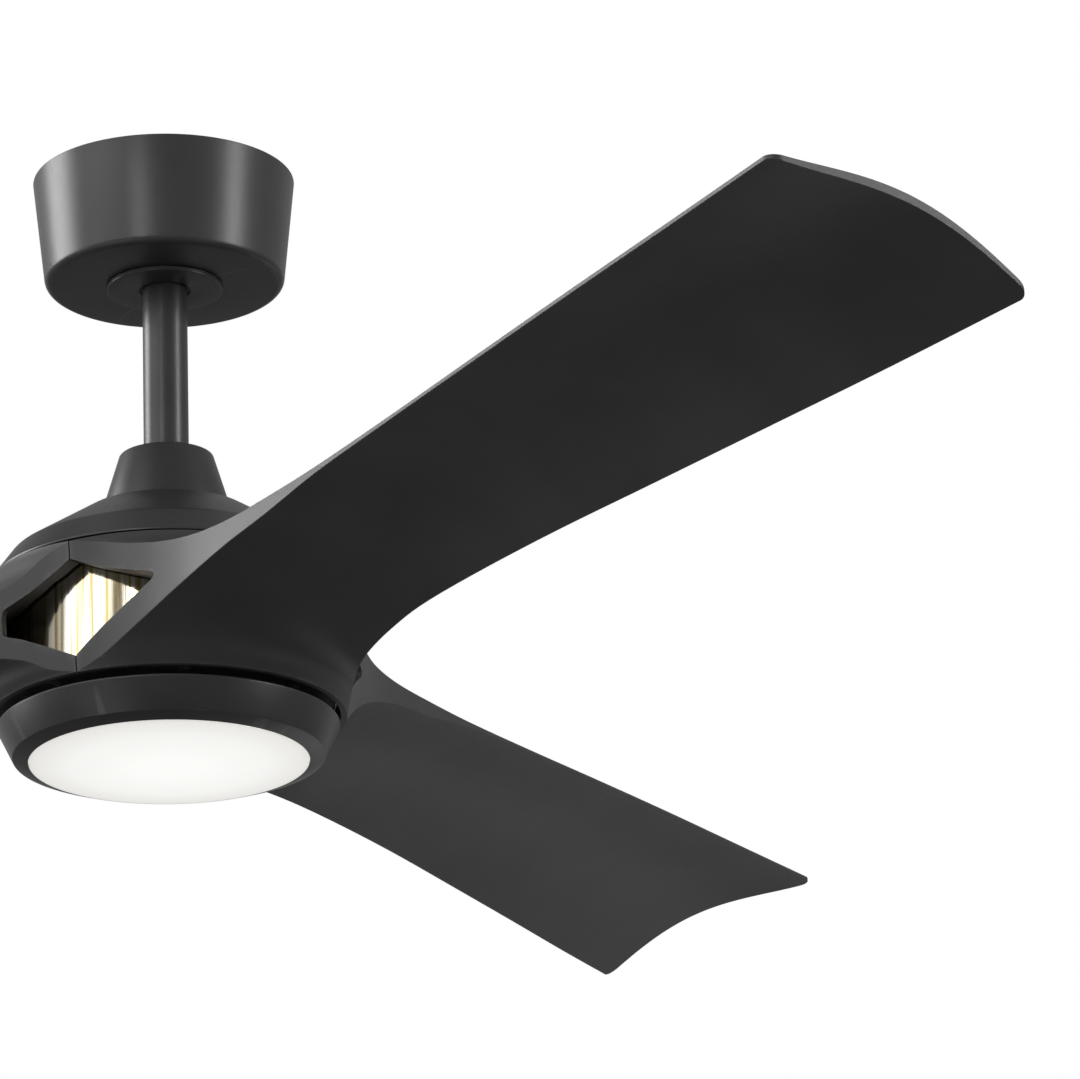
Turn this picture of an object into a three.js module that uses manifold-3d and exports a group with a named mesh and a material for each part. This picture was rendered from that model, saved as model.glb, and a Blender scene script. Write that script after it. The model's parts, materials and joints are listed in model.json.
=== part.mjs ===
// Ceiling fan with a light: hanger, canopy, downrod, outer-rotor motor, three moulded
// blades that close into a windowed hub band, and a round light kit under the motor.
// Millimetres, +Z up. The origin is on the fan's axis in the ceiling plane.
import * as THREE from "three";
import { mergeVertices } from "three/addons/utils/BufferGeometryUtils.js";
import Module from "manifold-3d";

const wasm = await Module();
wasm.setup();

// ---------------------------------------------------------------- driving dimensions
const GAP = 0.3; // running or seating gap between neighbouring pieces
const OVERCUT = 1; // how far a cutting tool runs past the face it cuts
const BLADE_AZIMUTHS = [-60, 60, 180]; // degrees, seen from above

// ceiling hanger
const PLATE = { length: 130, width: 54, thick: 2.5 };
const BOX_SLOT = { x: 44.5, halfLength: 8, halfWidth: 2.6 }; // takes the ceiling box's screws
const RECEIVER = { halfLength: 29, halfWidth: 20, bottom: -12.6 };
const WEB = { x: 31, thick: 2.5 }; // inner face and thickness of the hanger's two webs
const SEAT = { top: -47, bottom: -49.5, holeRadius: 20.2, slotWidth: 28 };
const BALL = { radius: 25, z: -32, top: -14, bottom: -50 };
const BALL_PIN = { halfLength: 23 };
const SET_SCREW = { radius: 2.5, holeRadius: 2.8 };
const CANOPY_SCREW = {
  x: 27,
  postRadius: 4,
  boreRadius: 2.3,
  shankRadius: 2,
  headRadius: 3.4,
  headHeight: 1.3,
};

// canopy: an inverted cone with a rounded lower edge
const CANOPY = {
  topRadius: 76.1,
  lowRadius: 69.3,
  edgeTop: -59.5,
  bottom: -64.2,
  wall: 1.8,
  holeRadius: 19,
};
const TRIM = { radius: 33.5, boreRadius: 14.9, top: -64.5, bottom: -67, wall: 0.9, chamfer: 0.7 };

// downrod and its coupling
const ROD = { radius: 13, bore: 10.8, top: -16, bottom: -194.5 };
const BORE = ROD.radius + GAP; // every bore the downrod passes through
const PIN = { radius: 3, holeRadius: 3.3, z: -184, headX: -22, headRadius: 4.6, endX: 22.4 };
const CLIP = { x: 20.6, wireRadius: 0.7, holeRadius: 1.1 };
const LEADS = { radius: 2.2, besidePin: 6.6 };
// coupling cover: a straight-sided cup, closed on top round the downrod, resting on the motor cover
const CUP = { topRadius: 27, lowRadius: 38, top: -169.8, bottom: -206.3, edge: 1.6, wall: 1.8 };
const YOKE = { radius: 18, top: -173, floor: -195, bottom: -203, screwZ: -177.5 };
const SHAFT = { radius: 8.5, bore: 5.5, top: -196, bottom: -343.6 };

// motor
const BEARING = { radius: 20, width: 12, innerRadius: 12, seal: 0.8, upperTop: -212, lowerTop: -304 };
const BEARING_HUB = { wall: 4, lip: 1 }; // the shells' collars round the bearings
const STATOR = { radius: 75, top: -250, bottom: -282, teeth: 12, slotWidth: 9, hubRadius: 34 };
const WINDING = { inner: 40, outer: 70, crownInner: 46, crownOuter: 66, shoulder: 5, height: 9 };
const WINDING_NOTCH = { inner: 50, outer: 74, halfWidth: 1.6 };
const ROTOR = { radius: 86.5, wall: 3, shoulder: 8, webTop: -234, floorTop: -317, floorBottom: -320.6 };
const MAGNET = { inner: 76.2, outer: 82.9, top: -246, bottom: -286 };
const BOARD = { inner: 26, outer: 66, top: -295.4, bottom: -297 };
// Parts on the board's underside, each [x0, x1, y0, y1, height]
const BOARD_PARTS = [
  [36, 48, -8, 8, 5],
  [-56, -44, -6, 6, 6],
  [-6, 6, 40, 52, 4],
  [-9, 9, -58, -46, 3],
];
const SLEEVE = { inner: 94.5, outer: 96, top: -256.5, bottom: -320.4 };
// motor cover: flat crown, shallow cone, steep shoulder, rim, and a skirt that holds the sleeve
const DOME = {
  bore: 31,
  crownRadius: 48.5,
  crownTop: -206.6,
  shoulderRadius: 89.8,
  shoulderTop: -232.9,
  rimRadius: 101,
  rimTop: -248.1,
  rimBottom: -249.2,
  skirtBottom: -262,
  wall: 1.8,
};

// hub band and blades
const BAND = {
  topRadius: 109.5, // where the blades meet at a seam
  lowRadius: 101.1,
  coreRadius: 101.6, // outside of the plain ring behind the blade's skin
  inner: 97.5,
  top: -253.8,
  bottom: -328,
  lip: 1.2,
};
const CROWN = { inset: 6.5, rise: 3.3 }; // how the band's top edge rolls in and up between the seams
const SEAM_GAP = 0.4; // half the joint line between two blades
const FLANGE = {
  inner: 79,
  top: -321,
  bottom: -324.8,
  halfAngle: 40,
  boltRadius: 85.5,
  boltAngle: 24,
  holeRadius: 2.3,
};
const BLADE_SCREW = { headRadius: 3.9, headHeight: 2.1, shankRadius: 1.95 };
const TIP = { x: 710.5, chord: 152, cornerRadius: 7, lastBay: 95.5 };
const BLEND = { hubEnd: 6.5, hubPower: 1.6, wingStart: 3, wingEnd: 8 }; // in stations
const CAMBER = 0.092; // rise of the blade's mid line, as a part of its chord
const CAMBER_LEAN = 1.25; // over 1, the highest point lies nearer the trailing edge
const BELLY = 2.2; // extra thickness in mid chord
const ROOT = { topRadius: 100.5, lowRadius: 98.1, taper: 0.6 }; // the wing's inner end, inside the ring

// light kit
const KIT = {
  topRadius: 97.6,
  lowRadius: 88.6,
  mouth: 82,
  top: -332.2,
  edge: 0.6,
  lipTop: -350.8,
  lipBottom: -354,
  lipRadius: 79.6,
  round: 1.5,
  wall: 2,
};
const KIT_PLATE = { radius: 92, top: KIT.top - KIT.wall - GAP, thick: 2 };
const KIT_SCREW = { radius: 87.5, angles: [30, 150, 270], headRadius: 3, shankRadius: 1.7, holeRadius: 2 };
const KIT_POST = { radius: 62, angles: [90, 210, 330], thick: 3.2, length: 9.7 };
const NUT = { radius: 14, height: 6 };
const LED = { radius: 76, thick: 1.4, chipSize: 4, chipHeight: 0.8, top: KIT_PLATE.top - 10 };
const LED_RINGS = [[30, 6], [60, 12]]; // each [radius, number of chips]
const DRIVER = { x0: -56, x1: -22, halfWidth: 26, clear: 0.8 };
const LENS = { radius: 79.2, flangeRadius: 84.5, bottom: -357.2, wall: 1.8, flangeThick: 1.3, seatRise: 1.2 };

// ---------------------------------------------------------------- materials
function finish(color, roughness, metalness) {
  return new THREE.MeshStandardMaterial({ color, roughness, metalness });
}
const FINISH = {
  black: finish(0x1c1c1d, 0.45, 0.35),
  blade: finish(0x262627, 0.55, 0.0),
  steel: finish(0x9a9c9f, 0.4, 0.9),
  zinc: finish(0xb4b6b8, 0.45, 0.9),
  blackScrew: finish(0x202021, 0.4, 0.5),
  brass: finish(0xd9a441, 0.12, 1.0),
  castIron: finish(0x3d3f42, 0.6, 0.8),
  lamination: finish(0x55585c, 0.5, 0.8),
  copper: finish(0xb06a34, 0.35, 0.9),
  magnet: finish(0x33302e, 0.7, 0.3),
  aluminium: finish(0xc4c6c8, 0.4, 0.9),
  nylon: finish(0x2a2a2c, 0.6, 0.0),
  board: finish(0x1f5a36, 0.5, 0.1),
  whiteBoard: finish(0xf1f1ec, 0.5, 0.0),
  lens: finish(0xf7f5ee, 0.35, 0.0),
  cable: finish(0x202022, 0.7, 0.0),
};

// ---------------------------------------------------------------- solid helpers
// Merges shared corners, drops empty triangles and turns the faces outward.
function closed(geometry) {
  const bare = geometry.clone();
  for (const name of Object.keys(bare.attributes)) {
    if (name !== "position") bare.deleteAttribute(name);
  }
  const merged = mergeVertices(bare, 1e-4);
  const corner = merged.index.array;
  const place = merged.attributes.position;
  const kept = [];
  let volume = 0;
  const a = new THREE.Vector3();
  const b = new THREE.Vector3();
  const c = new THREE.Vector3();
  for (let i = 0; i < corner.length; i += 3) {
    const [p, q, r] = [corner[i], corner[i + 1], corner[i + 2]];
    if (p === q || q === r || r === p) continue;
    kept.push(p, q, r);
    a.fromBufferAttribute(place, p);
    b.fromBufferAttribute(place, q);
    c.fromBufferAttribute(place, r);
    volume += a.dot(b.cross(c));
  }
  if (volume < 0) kept.reverse();
  merged.setIndex(kept);
  return merged;
}

function toSolid(geometry) {
  const shape = closed(geometry);
  return new wasm.Manifold(
    new wasm.Mesh({
      numProp: 3,
      vertProperties: new Float32Array(shape.attributes.position.array),
      triVerts: new Uint32Array(shape.index.array),
    }),
  );
}

function toGeometry(solid) {
  const mesh = solid.getMesh();
  const geometry = new THREE.BufferGeometry();
  geometry.setAttribute("position", new THREE.BufferAttribute(new Float32Array(mesh.vertProperties), 3));
  geometry.setIndex(new THREE.BufferAttribute(new Uint32Array(mesh.triVerts), 1));
  return geometry;
}

function cut(base, ...tools) {
  return toGeometry(tools.reduce((solid, tool) => solid.subtract(toSolid(tool)), toSolid(base)));
}

function join(base, ...others) {
  return toGeometry(others.reduce((solid, other) => solid.add(toSolid(other)), toSolid(base)));
}

function common(base, other) {
  return toGeometry(toSolid(base).intersect(toSolid(other)));
}

// A closed profile of [radius, z] points, spun about the Z axis.
function spun(profile, segments = 32) {
  const points = profile.map(([r, z]) => new THREE.Vector2(r, z));
  if (profile[0][0] > 0 || profile[profile.length - 1][0] > 0) points.push(points[0].clone());
  return closed(new THREE.LatheGeometry(points, segments).rotateX(Math.PI / 2));
}

function ring(inner, outer, bottom, top, segments = 32) {
  return spun([[inner, bottom], [outer, bottom], [outer, top], [inner, top]], segments);
}

function block(x0, x1, y0, y1, z0, z1) {
  const box = new THREE.BoxGeometry(x1 - x0, y1 - y0, z1 - z0);
  return closed(box.translate((x0 + x1) / 2, (y0 + y1) / 2, (z0 + z1) / 2));
}

// A round bar between two points.
function bar(from, to, radius, segments = 12) {
  const start = new THREE.Vector3(...from);
  const along = new THREE.Vector3(...to).sub(start);
  const cylinder = new THREE.CylinderGeometry(radius, radius, along.length(), segments);
  const turn = new THREE.Quaternion().setFromUnitVectors(
    new THREE.Vector3(0, 1, 0),
    along.clone().normalize(),
  );
  cylinder.applyQuaternion(turn);
  const middle = start.addScaledVector(along, 0.5);
  return closed(cylinder.translate(middle.x, middle.y, middle.z));
}

// A round wire or cable along a list of points.
function wire(points, radius, sides, steps) {
  const section = new THREE.Shape();
  for (let i = 0; i < sides; i += 1) {
    const angle = (2 * Math.PI * i) / sides;
    const x = radius * Math.cos(angle);
    const y = radius * Math.sin(angle);
    if (i === 0) section.moveTo(x, y);
    else section.lineTo(x, y);
  }
  section.closePath();
  const path = new THREE.CatmullRomCurve3(points.map((p) => new THREE.Vector3(...p)));
  return closed(new THREE.ExtrudeGeometry(section, { steps, bevelEnabled: false, extrudePath: path }));
}

// Inner corner of a wall of even thickness, from three [radius, z] points of its outer face.
function innerCorner(before, corner, after, wall) {
  const normals = [[before, corner], [corner, after]].map(([from, to]) => {
    const along = new THREE.Vector2(to[0] - from[0], to[1] - from[1]).normalize();
    return new THREE.Vector2(along.y, -along.x);
  });
  const shift = normals[0].clone().add(normals[1]).multiplyScalar(wall / (1 + normals[0].dot(normals[1])));
  return [corner[0] + shift.x, corner[1] + shift.y];
}

function polar(radius, degrees, z) {
  const angle = THREE.MathUtils.degToRad(degrees);
  return [radius * Math.cos(angle), radius * Math.sin(angle), z];
}

const fan = new THREE.Group();

function add(name, geometry, material) {
  const mesh = new THREE.Mesh(geometry, material);
  mesh.name = name;
  fan.add(mesh);
  return mesh;
}

// ---------------------------------------------------------------- ceiling hanger
function hangerBracket() {
  const { length, width, thick } = PLATE;
  const half = width / 2;
  const plate = block(-length / 2, length / 2, -half, half, -thick, 0);
  const webs = [1, -1].map((side) => {
    const inner = side * WEB.x;
    const outer = side * (WEB.x + WEB.thick);
    return block(Math.min(inner, outer), Math.max(inner, outer), -half, half, SEAT.bottom, -thick / 2);
  });
  const reach = WEB.x + WEB.thick;
  const seat = block(-reach, reach, -half, half, SEAT.bottom, SEAT.top);
  const posts = [1, -1].map((side) => {
    const x = side * CANOPY_SCREW.x;
    const end = CANOPY.bottom + CANOPY.wall + GAP;
    return bar([x, 0, (SEAT.top + SEAT.bottom) / 2], [x, 0, end], CANOPY_SCREW.postRadius, 14);
  });
  const body = join(plate, ...webs, seat, ...posts);
  const low = SEAT.bottom - OVERCUT;
  const high = SEAT.top + OVERCUT;
  const ballSeat = bar([0, 0, low], [0, 0, high], SEAT.holeRadius, 28);
  const slot = block(-SEAT.slotWidth / 2, SEAT.slotWidth / 2, 0, width, low, high);
  const bores = [1, -1].map((side) => {
    const x = side * CANOPY_SCREW.x;
    return bar([x, 0, CANOPY.bottom], [x, 0, low], CANOPY_SCREW.boreRadius, 12);
  });
  const ceilingSlots = [1, -1].map((side) => {
    const x = side * BOX_SLOT.x;
    const { halfLength, halfWidth } = BOX_SLOT;
    return block(x - halfLength, x + halfLength, -halfWidth, halfWidth, -thick - OVERCUT, OVERCUT);
  });
  return cut(body, ballSeat, slot, ...bores, ...ceilingSlots);
}

function hangerBall() {
  const profile = [];
  const steps = 6;
  const low = Math.asin((BALL.bottom - BALL.z) / BALL.radius);
  const high = Math.asin((BALL.top - BALL.z) / BALL.radius);
  for (let i = 0; i <= steps; i += 1) {
    const angle = low + ((high - low) * i) / steps;
    profile.push([BALL.radius * Math.cos(angle), BALL.z + BALL.radius * Math.sin(angle)]);
  }
  profile.push([BORE, BALL.top], [BORE, BALL.bottom]);
  const reach = BALL.radius + OVERCUT;
  const pinHole = bar([0, -reach, BALL.z], [0, reach, BALL.z], PIN.holeRadius, 12);
  const screwHole = bar([ROD.radius - OVERCUT, 0, BALL.z], [reach, 0, BALL.z], SET_SCREW.holeRadius, 12);
  return cut(spun(profile, 24), pinHole, screwHole);
}

function canopyShell() {
  const { topRadius, lowRadius, edgeTop, bottom, wall, holeRadius } = CANOPY;
  const edge = edgeTop - bottom;
  const profile = [[topRadius, 0]];
  const steps = 3;
  for (let i = 0; i <= steps; i += 1) {
    const angle = (Math.PI / 2) * (i / steps);
    profile.push([lowRadius - edge * (1 - Math.cos(angle)), edgeTop - edge * Math.sin(angle)]);
  }
  profile.push([holeRadius, bottom], [holeRadius, bottom + wall]);
  profile.push([lowRadius - edge, bottom + wall], [lowRadius - wall, edgeTop]);
  profile.push([topRadius - wall, 0]);
  const holes = [1, -1].map((side) => {
    const x = side * CANOPY_SCREW.x;
    return bar([x, 0, bottom - OVERCUT], [x, 0, bottom + wall + OVERCUT], CANOPY_SCREW.boreRadius, 12);
  });
  return cut(spun(profile, 40), ...holes);
}

function canopyScrew(side) {
  const x = side * CANOPY_SCREW.x;
  const { headRadius, headHeight, shankRadius } = CANOPY_SCREW;
  const headTop = CANOPY.bottom - GAP;
  const head = bar([x, 0, headTop], [x, 0, headTop - headHeight], headRadius, 10);
  const shank = bar([x, 0, headTop - headHeight / 2], [x, 0, SEAT.bottom - 2], shankRadius, 8);
  return join(head, shank);
}

function trimDisc() {
  const { radius, boreRadius, top, bottom, wall, chamfer } = TRIM;
  const inside = radius - wall - GAP;
  return spun(
    [
      [radius, top],
      [radius, bottom + chamfer],
      [radius - chamfer, bottom],
      [boreRadius, bottom],
      [boreRadius, bottom + wall],
      [inside, bottom + wall],
      [inside, top],
    ],
    36,
  );
}

function remoteReceiver() {
  const { halfLength, halfWidth, bottom } = RECEIVER;
  return block(-halfLength, halfLength, -halfWidth, halfWidth, bottom, -PLATE.thick - GAP);
}

function hangerPin() {
  return bar([0, -BALL_PIN.halfLength, BALL.z], [0, BALL_PIN.halfLength, BALL.z], PIN.radius, 12);
}

function ballSetScrew() {
  return bar([BORE, 0, BALL.z], [BALL.radius - OVERCUT, 0, BALL.z], SET_SCREW.radius, 12);
}

add("hanger_bracket", hangerBracket(), FINISH.zinc);
add("remote_receiver", remoteReceiver(), FINISH.nylon);
add("hanger_ball", hangerBall(), FINISH.nylon);
add("hanger_pin", hangerPin(), FINISH.zinc);
add("ball_set_screw", ballSetScrew(), FINISH.zinc);
add("canopy", canopyShell(), FINISH.black);
add("canopy_screw_1", canopyScrew(1), FINISH.zinc);
add("canopy_screw_2", canopyScrew(-1), FINISH.zinc);
add("canopy_trim_disc", trimDisc(), FINISH.black);

// ---------------------------------------------------------------- downrod and coupling
function downrod() {
  const tube = ring(ROD.bore, ROD.radius, ROD.bottom, ROD.top, 24);
  const reach = ROD.radius + OVERCUT;
  const upperHole = bar([0, -reach, BALL.z], [0, reach, BALL.z], PIN.holeRadius, 12);
  const lowerHole = bar([-reach, 0, PIN.z], [reach, 0, PIN.z], PIN.holeRadius, 12);
  return cut(tube, upperHole, lowerHole);
}

// The leads pass both pins on their free side and go on down the hollow shaft.
function leadWires() {
  const clear = LEADS.besidePin;
  return wire(
    [
      [clear, 0, -17],
      [clear, 0, BALL.z],
      [5.2, 3.2, -80],
      [2, 5.6, -140],
      [0, clear, PIN.z + 6],
      [0, clear, PIN.z - 1],
      [0, 1.2, SHAFT.top],
      [0, 0, SHAFT.top - 20],
      [0, 0, -270],
      [0, 0, SHAFT.bottom + 4],
    ],
    LEADS.radius,
    6,
    44,
  );
}

function couplingCover() {
  const { topRadius, lowRadius, top, bottom, edge, wall } = CUP;
  const flare = (lowRadius - topRadius) / (top - bottom);
  const mouth = [BORE + GAP, top];
  const corner = [topRadius, top];
  const foot = [lowRadius, bottom];
  return spun(
    [
      mouth,
      [topRadius - edge, top],
      [topRadius + flare * edge, top - edge],
      foot,
      [lowRadius - wall, bottom],
      innerCorner(mouth, corner, foot, wall),
      [BORE + GAP, top - wall],
    ],
    36,
  );
}

function yoke() {
  const { radius, top, floor, bottom, screwZ } = YOKE;
  const body = spun(
    [
      [BORE, top],
      [radius, top],
      [radius, bottom],
      [SHAFT.radius + GAP, bottom],
      [SHAFT.radius + GAP, floor],
      [BORE, floor],
    ],
    24,
  );
  const reach = radius + OVERCUT;
  const pinHole = bar([-reach, 0, PIN.z], [reach, 0, PIN.z], PIN.holeRadius, 12);
  const screwHole = bar([0, BORE - OVERCUT, screwZ], [0, reach, screwZ], SET_SCREW.holeRadius, 12);
  return cut(body, pinHole, screwHole);
}

function clevisPin() {
  const headEnd = -YOKE.radius - OVERCUT;
  const shank = bar([headEnd - OVERCUT, 0, PIN.z], [PIN.endX, 0, PIN.z], PIN.radius, 12);
  const head = bar([PIN.headX, 0, PIN.z], [headEnd, 0, PIN.z], PIN.headRadius, 14);
  const reach = PIN.radius + OVERCUT;
  const clipHole = bar([CLIP.x, 0, PIN.z - reach], [CLIP.x, 0, PIN.z + reach], CLIP.holeRadius, 10);
  return cut(join(shank, head), clipHole);
}

// A sprung wire clip: one leg through the pin, the other bowed round its outside.
function hairpinClip() {
  const { x } = CLIP;
  return wire(
    [
      [x, 0, PIN.z - 5],
      [x, 0, PIN.z],
      [x, 0.2, PIN.z + 5],
      [x, 2.4, PIN.z + 7.4],
      [x, 4.6, PIN.z + 5],
      [x, 4.6, PIN.z],
      [x, 3.4, PIN.z - 5.4],
    ],
    CLIP.wireRadius,
    6,
    14,
  );
}

function yokeSetScrew() {
  const end = YOKE.radius + 3;
  return bar([0, BORE, YOKE.screwZ], [0, end, YOKE.screwZ], SET_SCREW.radius, 12);
}

add("downrod", downrod(), FINISH.black);
add("lead_wires", leadWires(), FINISH.cable);
add("coupling_cover", couplingCover(), FINISH.black);
add("yoke", yoke(), FINISH.steel);
add("clevis_pin", clevisPin(), FINISH.zinc);
add("hairpin_clip", hairpinClip(), FINISH.zinc);
add("yoke_set_screw", yokeSetScrew(), FINISH.zinc);
add("motor_shaft", ring(SHAFT.bore, SHAFT.radius, SHAFT.bottom, SHAFT.top, 24), FINISH.steel);

// ---------------------------------------------------------------- motor
function motorBearing(top) {
  const bore = SHAFT.radius + GAP;
  const { radius, width, innerRadius, seal } = BEARING;
  const bottom = top - width;
  return spun(
    [
      [bore, bottom],
      [innerRadius, bottom],
      [innerRadius, bottom + seal],
      [radius, bottom + seal],
      [radius, top - seal],
      [innerRadius, top - seal],
      [innerRadius, top],
      [bore, top],
    ],
    24,
  );
}

// Laminated core: a hub ring with radial slots cut between its teeth.
function statorCore() {
  const { radius, top, bottom, teeth, slotWidth, hubRadius } = STATOR;
  const slots = [];
  for (let i = 0; i < teeth; i += 1) {
    const half = slotWidth / 2;
    const slot = block(hubRadius, radius + OVERCUT, -half, half, bottom - OVERCUT, top + OVERCUT);
    slots.push(slot.rotateZ((2 * Math.PI * i) / teeth));
  }
  return cut(ring(SHAFT.radius + GAP, radius, bottom, top, 36), ...slots);
}

// End turns of the windings, one humped ring on each face of the core.
function endWinding(face, direction) {
  const near = face + direction * GAP;
  const shoulder = near + direction * WINDING.shoulder;
  const far = face + direction * WINDING.height;
  const hump = spun(
    [
      [WINDING.inner, near],
      [WINDING.outer, near],
      [WINDING.outer, shoulder],
      [WINDING.crownOuter, far],
      [WINDING.crownInner, far],
      [WINDING.inner, shoulder],
    ],
    24,
  );
  const { inner, outer, halfWidth } = WINDING_NOTCH;
  const start = near + direction;
  const end = far + direction * OVERCUT;
  const notches = [];
  for (let i = 0; i < STATOR.teeth; i += 1) {
    const notch = block(inner, outer, -halfWidth, halfWidth, Math.min(start, end), Math.max(start, end));
    notches.push(notch.rotateZ((2 * Math.PI * i) / STATOR.teeth));
  }
  return cut(hump, ...notches);
}

function motorBoard() {
  const disc = ring(BOARD.inner, BOARD.outer, BOARD.bottom, BOARD.top, 32);
  const middle = (BOARD.top + BOARD.bottom) / 2;
  const parts = BOARD_PARTS.map(([x0, x1, y0, y1, height]) =>
    block(x0, x1, y0, y1, BOARD.bottom - height, middle),
  );
  return join(disc, ...parts);
}

function rotorUpperShell() {
  const { radius, wall, shoulder, webTop, floorTop } = ROTOR;
  const bore = BEARING.radius + GAP;
  const hub = bore + BEARING_HUB.wall;
  const hubTop = BEARING.upperTop + BEARING_HUB.lip;
  return spun(
    [
      [bore, hubTop],
      [hub, hubTop],
      [hub, webTop],
      [radius - shoulder, webTop],
      [radius, webTop - shoulder],
      [radius, floorTop + GAP],
      [radius - wall, floorTop + GAP],
      [radius - wall, webTop - shoulder - wall / 2],
      [radius - shoulder - wall / 2, webTop - wall],
      [bore, webTop - wall],
    ],
    32,
  );
}

function rotorLowerShell() {
  const { floorTop, floorBottom } = ROTOR;
  const bore = BEARING.radius + GAP;
  const hub = bore + BEARING_HUB.wall;
  const hubTop = BEARING.lowerTop + BEARING_HUB.lip;
  const disc = spun(
    [
      [bore, floorBottom],
      [SLEEVE.inner - GAP, floorBottom],
      [SLEEVE.inner - GAP, floorTop],
      [hub, floorTop],
      [hub, hubTop],
      [bore, hubTop],
    ],
    32,
  );
  const holes = screwPlaces().map(([x, y]) =>
    bar([x, y, floorBottom - OVERCUT], [x, y, floorTop + OVERCUT], FLANGE.holeRadius, 8),
  );
  return cut(disc, ...holes);
}

function motorCover() {
  const { bore, rimBottom, skirtBottom, wall } = DOME;
  const start = [bore, DOME.crownTop];
  const crown = [DOME.crownRadius, DOME.crownTop];
  const shoulder = [DOME.shoulderRadius, DOME.shoulderTop];
  const rim = [DOME.rimRadius, DOME.rimTop];
  const below = [DOME.rimRadius, rimBottom];
  const skirt = SLEEVE.inner - GAP;
  const floor = rimBottom + wall;
  const inside = innerCorner(shoulder, rim, below, wall);
  const innerShoulder = innerCorner(crown, shoulder, rim, wall);
  const share = (floor - inside[1]) / (innerShoulder[1] - inside[1]);
  return spun(
    [
      start,
      crown,
      shoulder,
      rim,
      below,
      [skirt, rimBottom],
      [skirt, skirtBottom],
      [skirt - wall, skirtBottom],
      [skirt - wall, floor],
      [inside[0] + share * (innerShoulder[0] - inside[0]), floor],
      innerShoulder,
      innerCorner(start, crown, shoulder, wall),
      [bore, DOME.crownTop - wall],
    ],
    40,
  );
}

function screwPlaces() {
  const places = [];
  for (const azimuth of BLADE_AZIMUTHS) {
    for (const side of [1, -1]) {
      places.push(polar(FLANGE.boltRadius, azimuth + side * FLANGE.boltAngle, 0));
    }
  }
  return places;
}

function bladeScrew([x, y]) {
  const headTop = FLANGE.bottom - GAP;
  const headBottom = headTop - BLADE_SCREW.headHeight;
  const head = bar([x, y, headBottom], [x, y, headTop], BLADE_SCREW.headRadius, 10);
  const shank = bar([x, y, headBottom + OVERCUT], [x, y, ROTOR.floorTop - GAP], BLADE_SCREW.shankRadius, 8);
  return join(head, shank);
}

add("upper_bearing", motorBearing(BEARING.upperTop), FINISH.steel);
add("lower_bearing", motorBearing(BEARING.lowerTop), FINISH.steel);
add("stator_core", statorCore(), FINISH.lamination);
add("stator_winding_upper", endWinding(STATOR.top, 1), FINISH.copper);
add("stator_winding_lower", endWinding(STATOR.bottom, -1), FINISH.copper);
add("motor_board", motorBoard(), FINISH.board);
add("magnet_ring", ring(MAGNET.inner, MAGNET.outer, MAGNET.bottom, MAGNET.top, 32), FINISH.magnet);
add("rotor_upper_shell", rotorUpperShell(), FINISH.castIron);
add("rotor_lower_shell", rotorLowerShell(), FINISH.castIron);
add("motor_cover", motorCover(), FINISH.black);
add("accent_sleeve", ring(SLEEVE.inner, SLEEVE.outer, SLEEVE.bottom, SLEEVE.top, 44), FINISH.brass);

// ---------------------------------------------------------------- blades
// Four rails run from the hub seam to the tip: the top and bottom edge of the leading
// face, and the top and bottom edge of the trailing face. Every rail has one point for
// each station, so that the same station number is the same place along the blade.
const RAILS = {
  leadTop: [
    [54.75, -94.83, -253.8], [70.8, -83.9, -257.3], [89, -75.6, -262.2], [110, -68, -266.4],
    [135, -62.2, -269.2], [168, -59, -270.3], [210, -58.8, -270.3], [262, -58.8, -269.1],
    [340, -60.3, -266.1], [430, -63.2, -262.7], [520, -67.2, -260.4], [615, -72.5, -259.4],
    [TIP.x, -79.5, -259.4],
  ],
  leadLow: [
    [50.55, -87.55, -328], [67, -80.4, -321.5], [85.8, -73.7, -311.8], [107, -67.5, -301.8],
    [133, -62, -291.8], [167, -59.2, -284], [210, -59.3, -279.6], [262, -59, -272.9],
    [340, -60.3, -268.5], [430, -63.2, -265.1], [520, -67.2, -262.8], [615, -72.5, -261.8],
    [TIP.x, -79.5, -261.8],
  ],
  trailTop: [
    [54.75, 94.83, -253.8], [67, 86, -258.5], [82, 77.3, -269], [100, 68.5, -277.5],
    [125, 58.5, -288], [160, 48.8, -300], [205, 40.6, -309.5], [262, 37.9, -312.9],
    [340, 38.2, -313.3], [430, 41, -314.1], [520, 47.2, -312.8], [615, 57.8, -308.9],
    [TIP.x, 72.6, -301.3],
  ],
  trailLow: [
    [50.55, 87.55, -328], [66, 80.2, -324], [80, 74.5, -317], [98, 67.5, -313.6],
    [124, 58.2, -314], [160, 48.6, -314.8], [205, 40.5, -315.4], [262, 37.9, -315.5],
    [340, 38.2, -315.7], [430, 41, -316.5], [520, 47.2, -315.2], [615, 57.8, -311.3],
    [TIP.x, 72.6, -303.7],
  ],
};
const LAST_STATION = RAILS.leadTop.length - 1;
const rail = Object.fromEntries(
  Object.entries(RAILS).map(([name, points]) => {
    const corners = points.map((p) => new THREE.Vector3(...p));
    return [name, new THREE.CatmullRomCurve3(corners, false, "catmullrom", 0.5)];
  }),
);

// Outline of the hub where the blade's lower (top = false) or upper skin starts.
function hubArc(across, top) {
  const side = 2 * across - 1;
  const angle = side * (Math.PI / 3);
  if (!top) {
    const low = BAND.lowRadius;
    return new THREE.Vector3(low * Math.cos(angle), low * Math.sin(angle), BAND.bottom);
  }
  const middle = 1 - side ** 4;
  const radius = BAND.topRadius - CROWN.inset * middle;
  const z = BAND.top + CROWN.rise * middle;
  return new THREE.Vector3(radius * Math.cos(angle), radius * Math.sin(angle), z);
}

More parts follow.
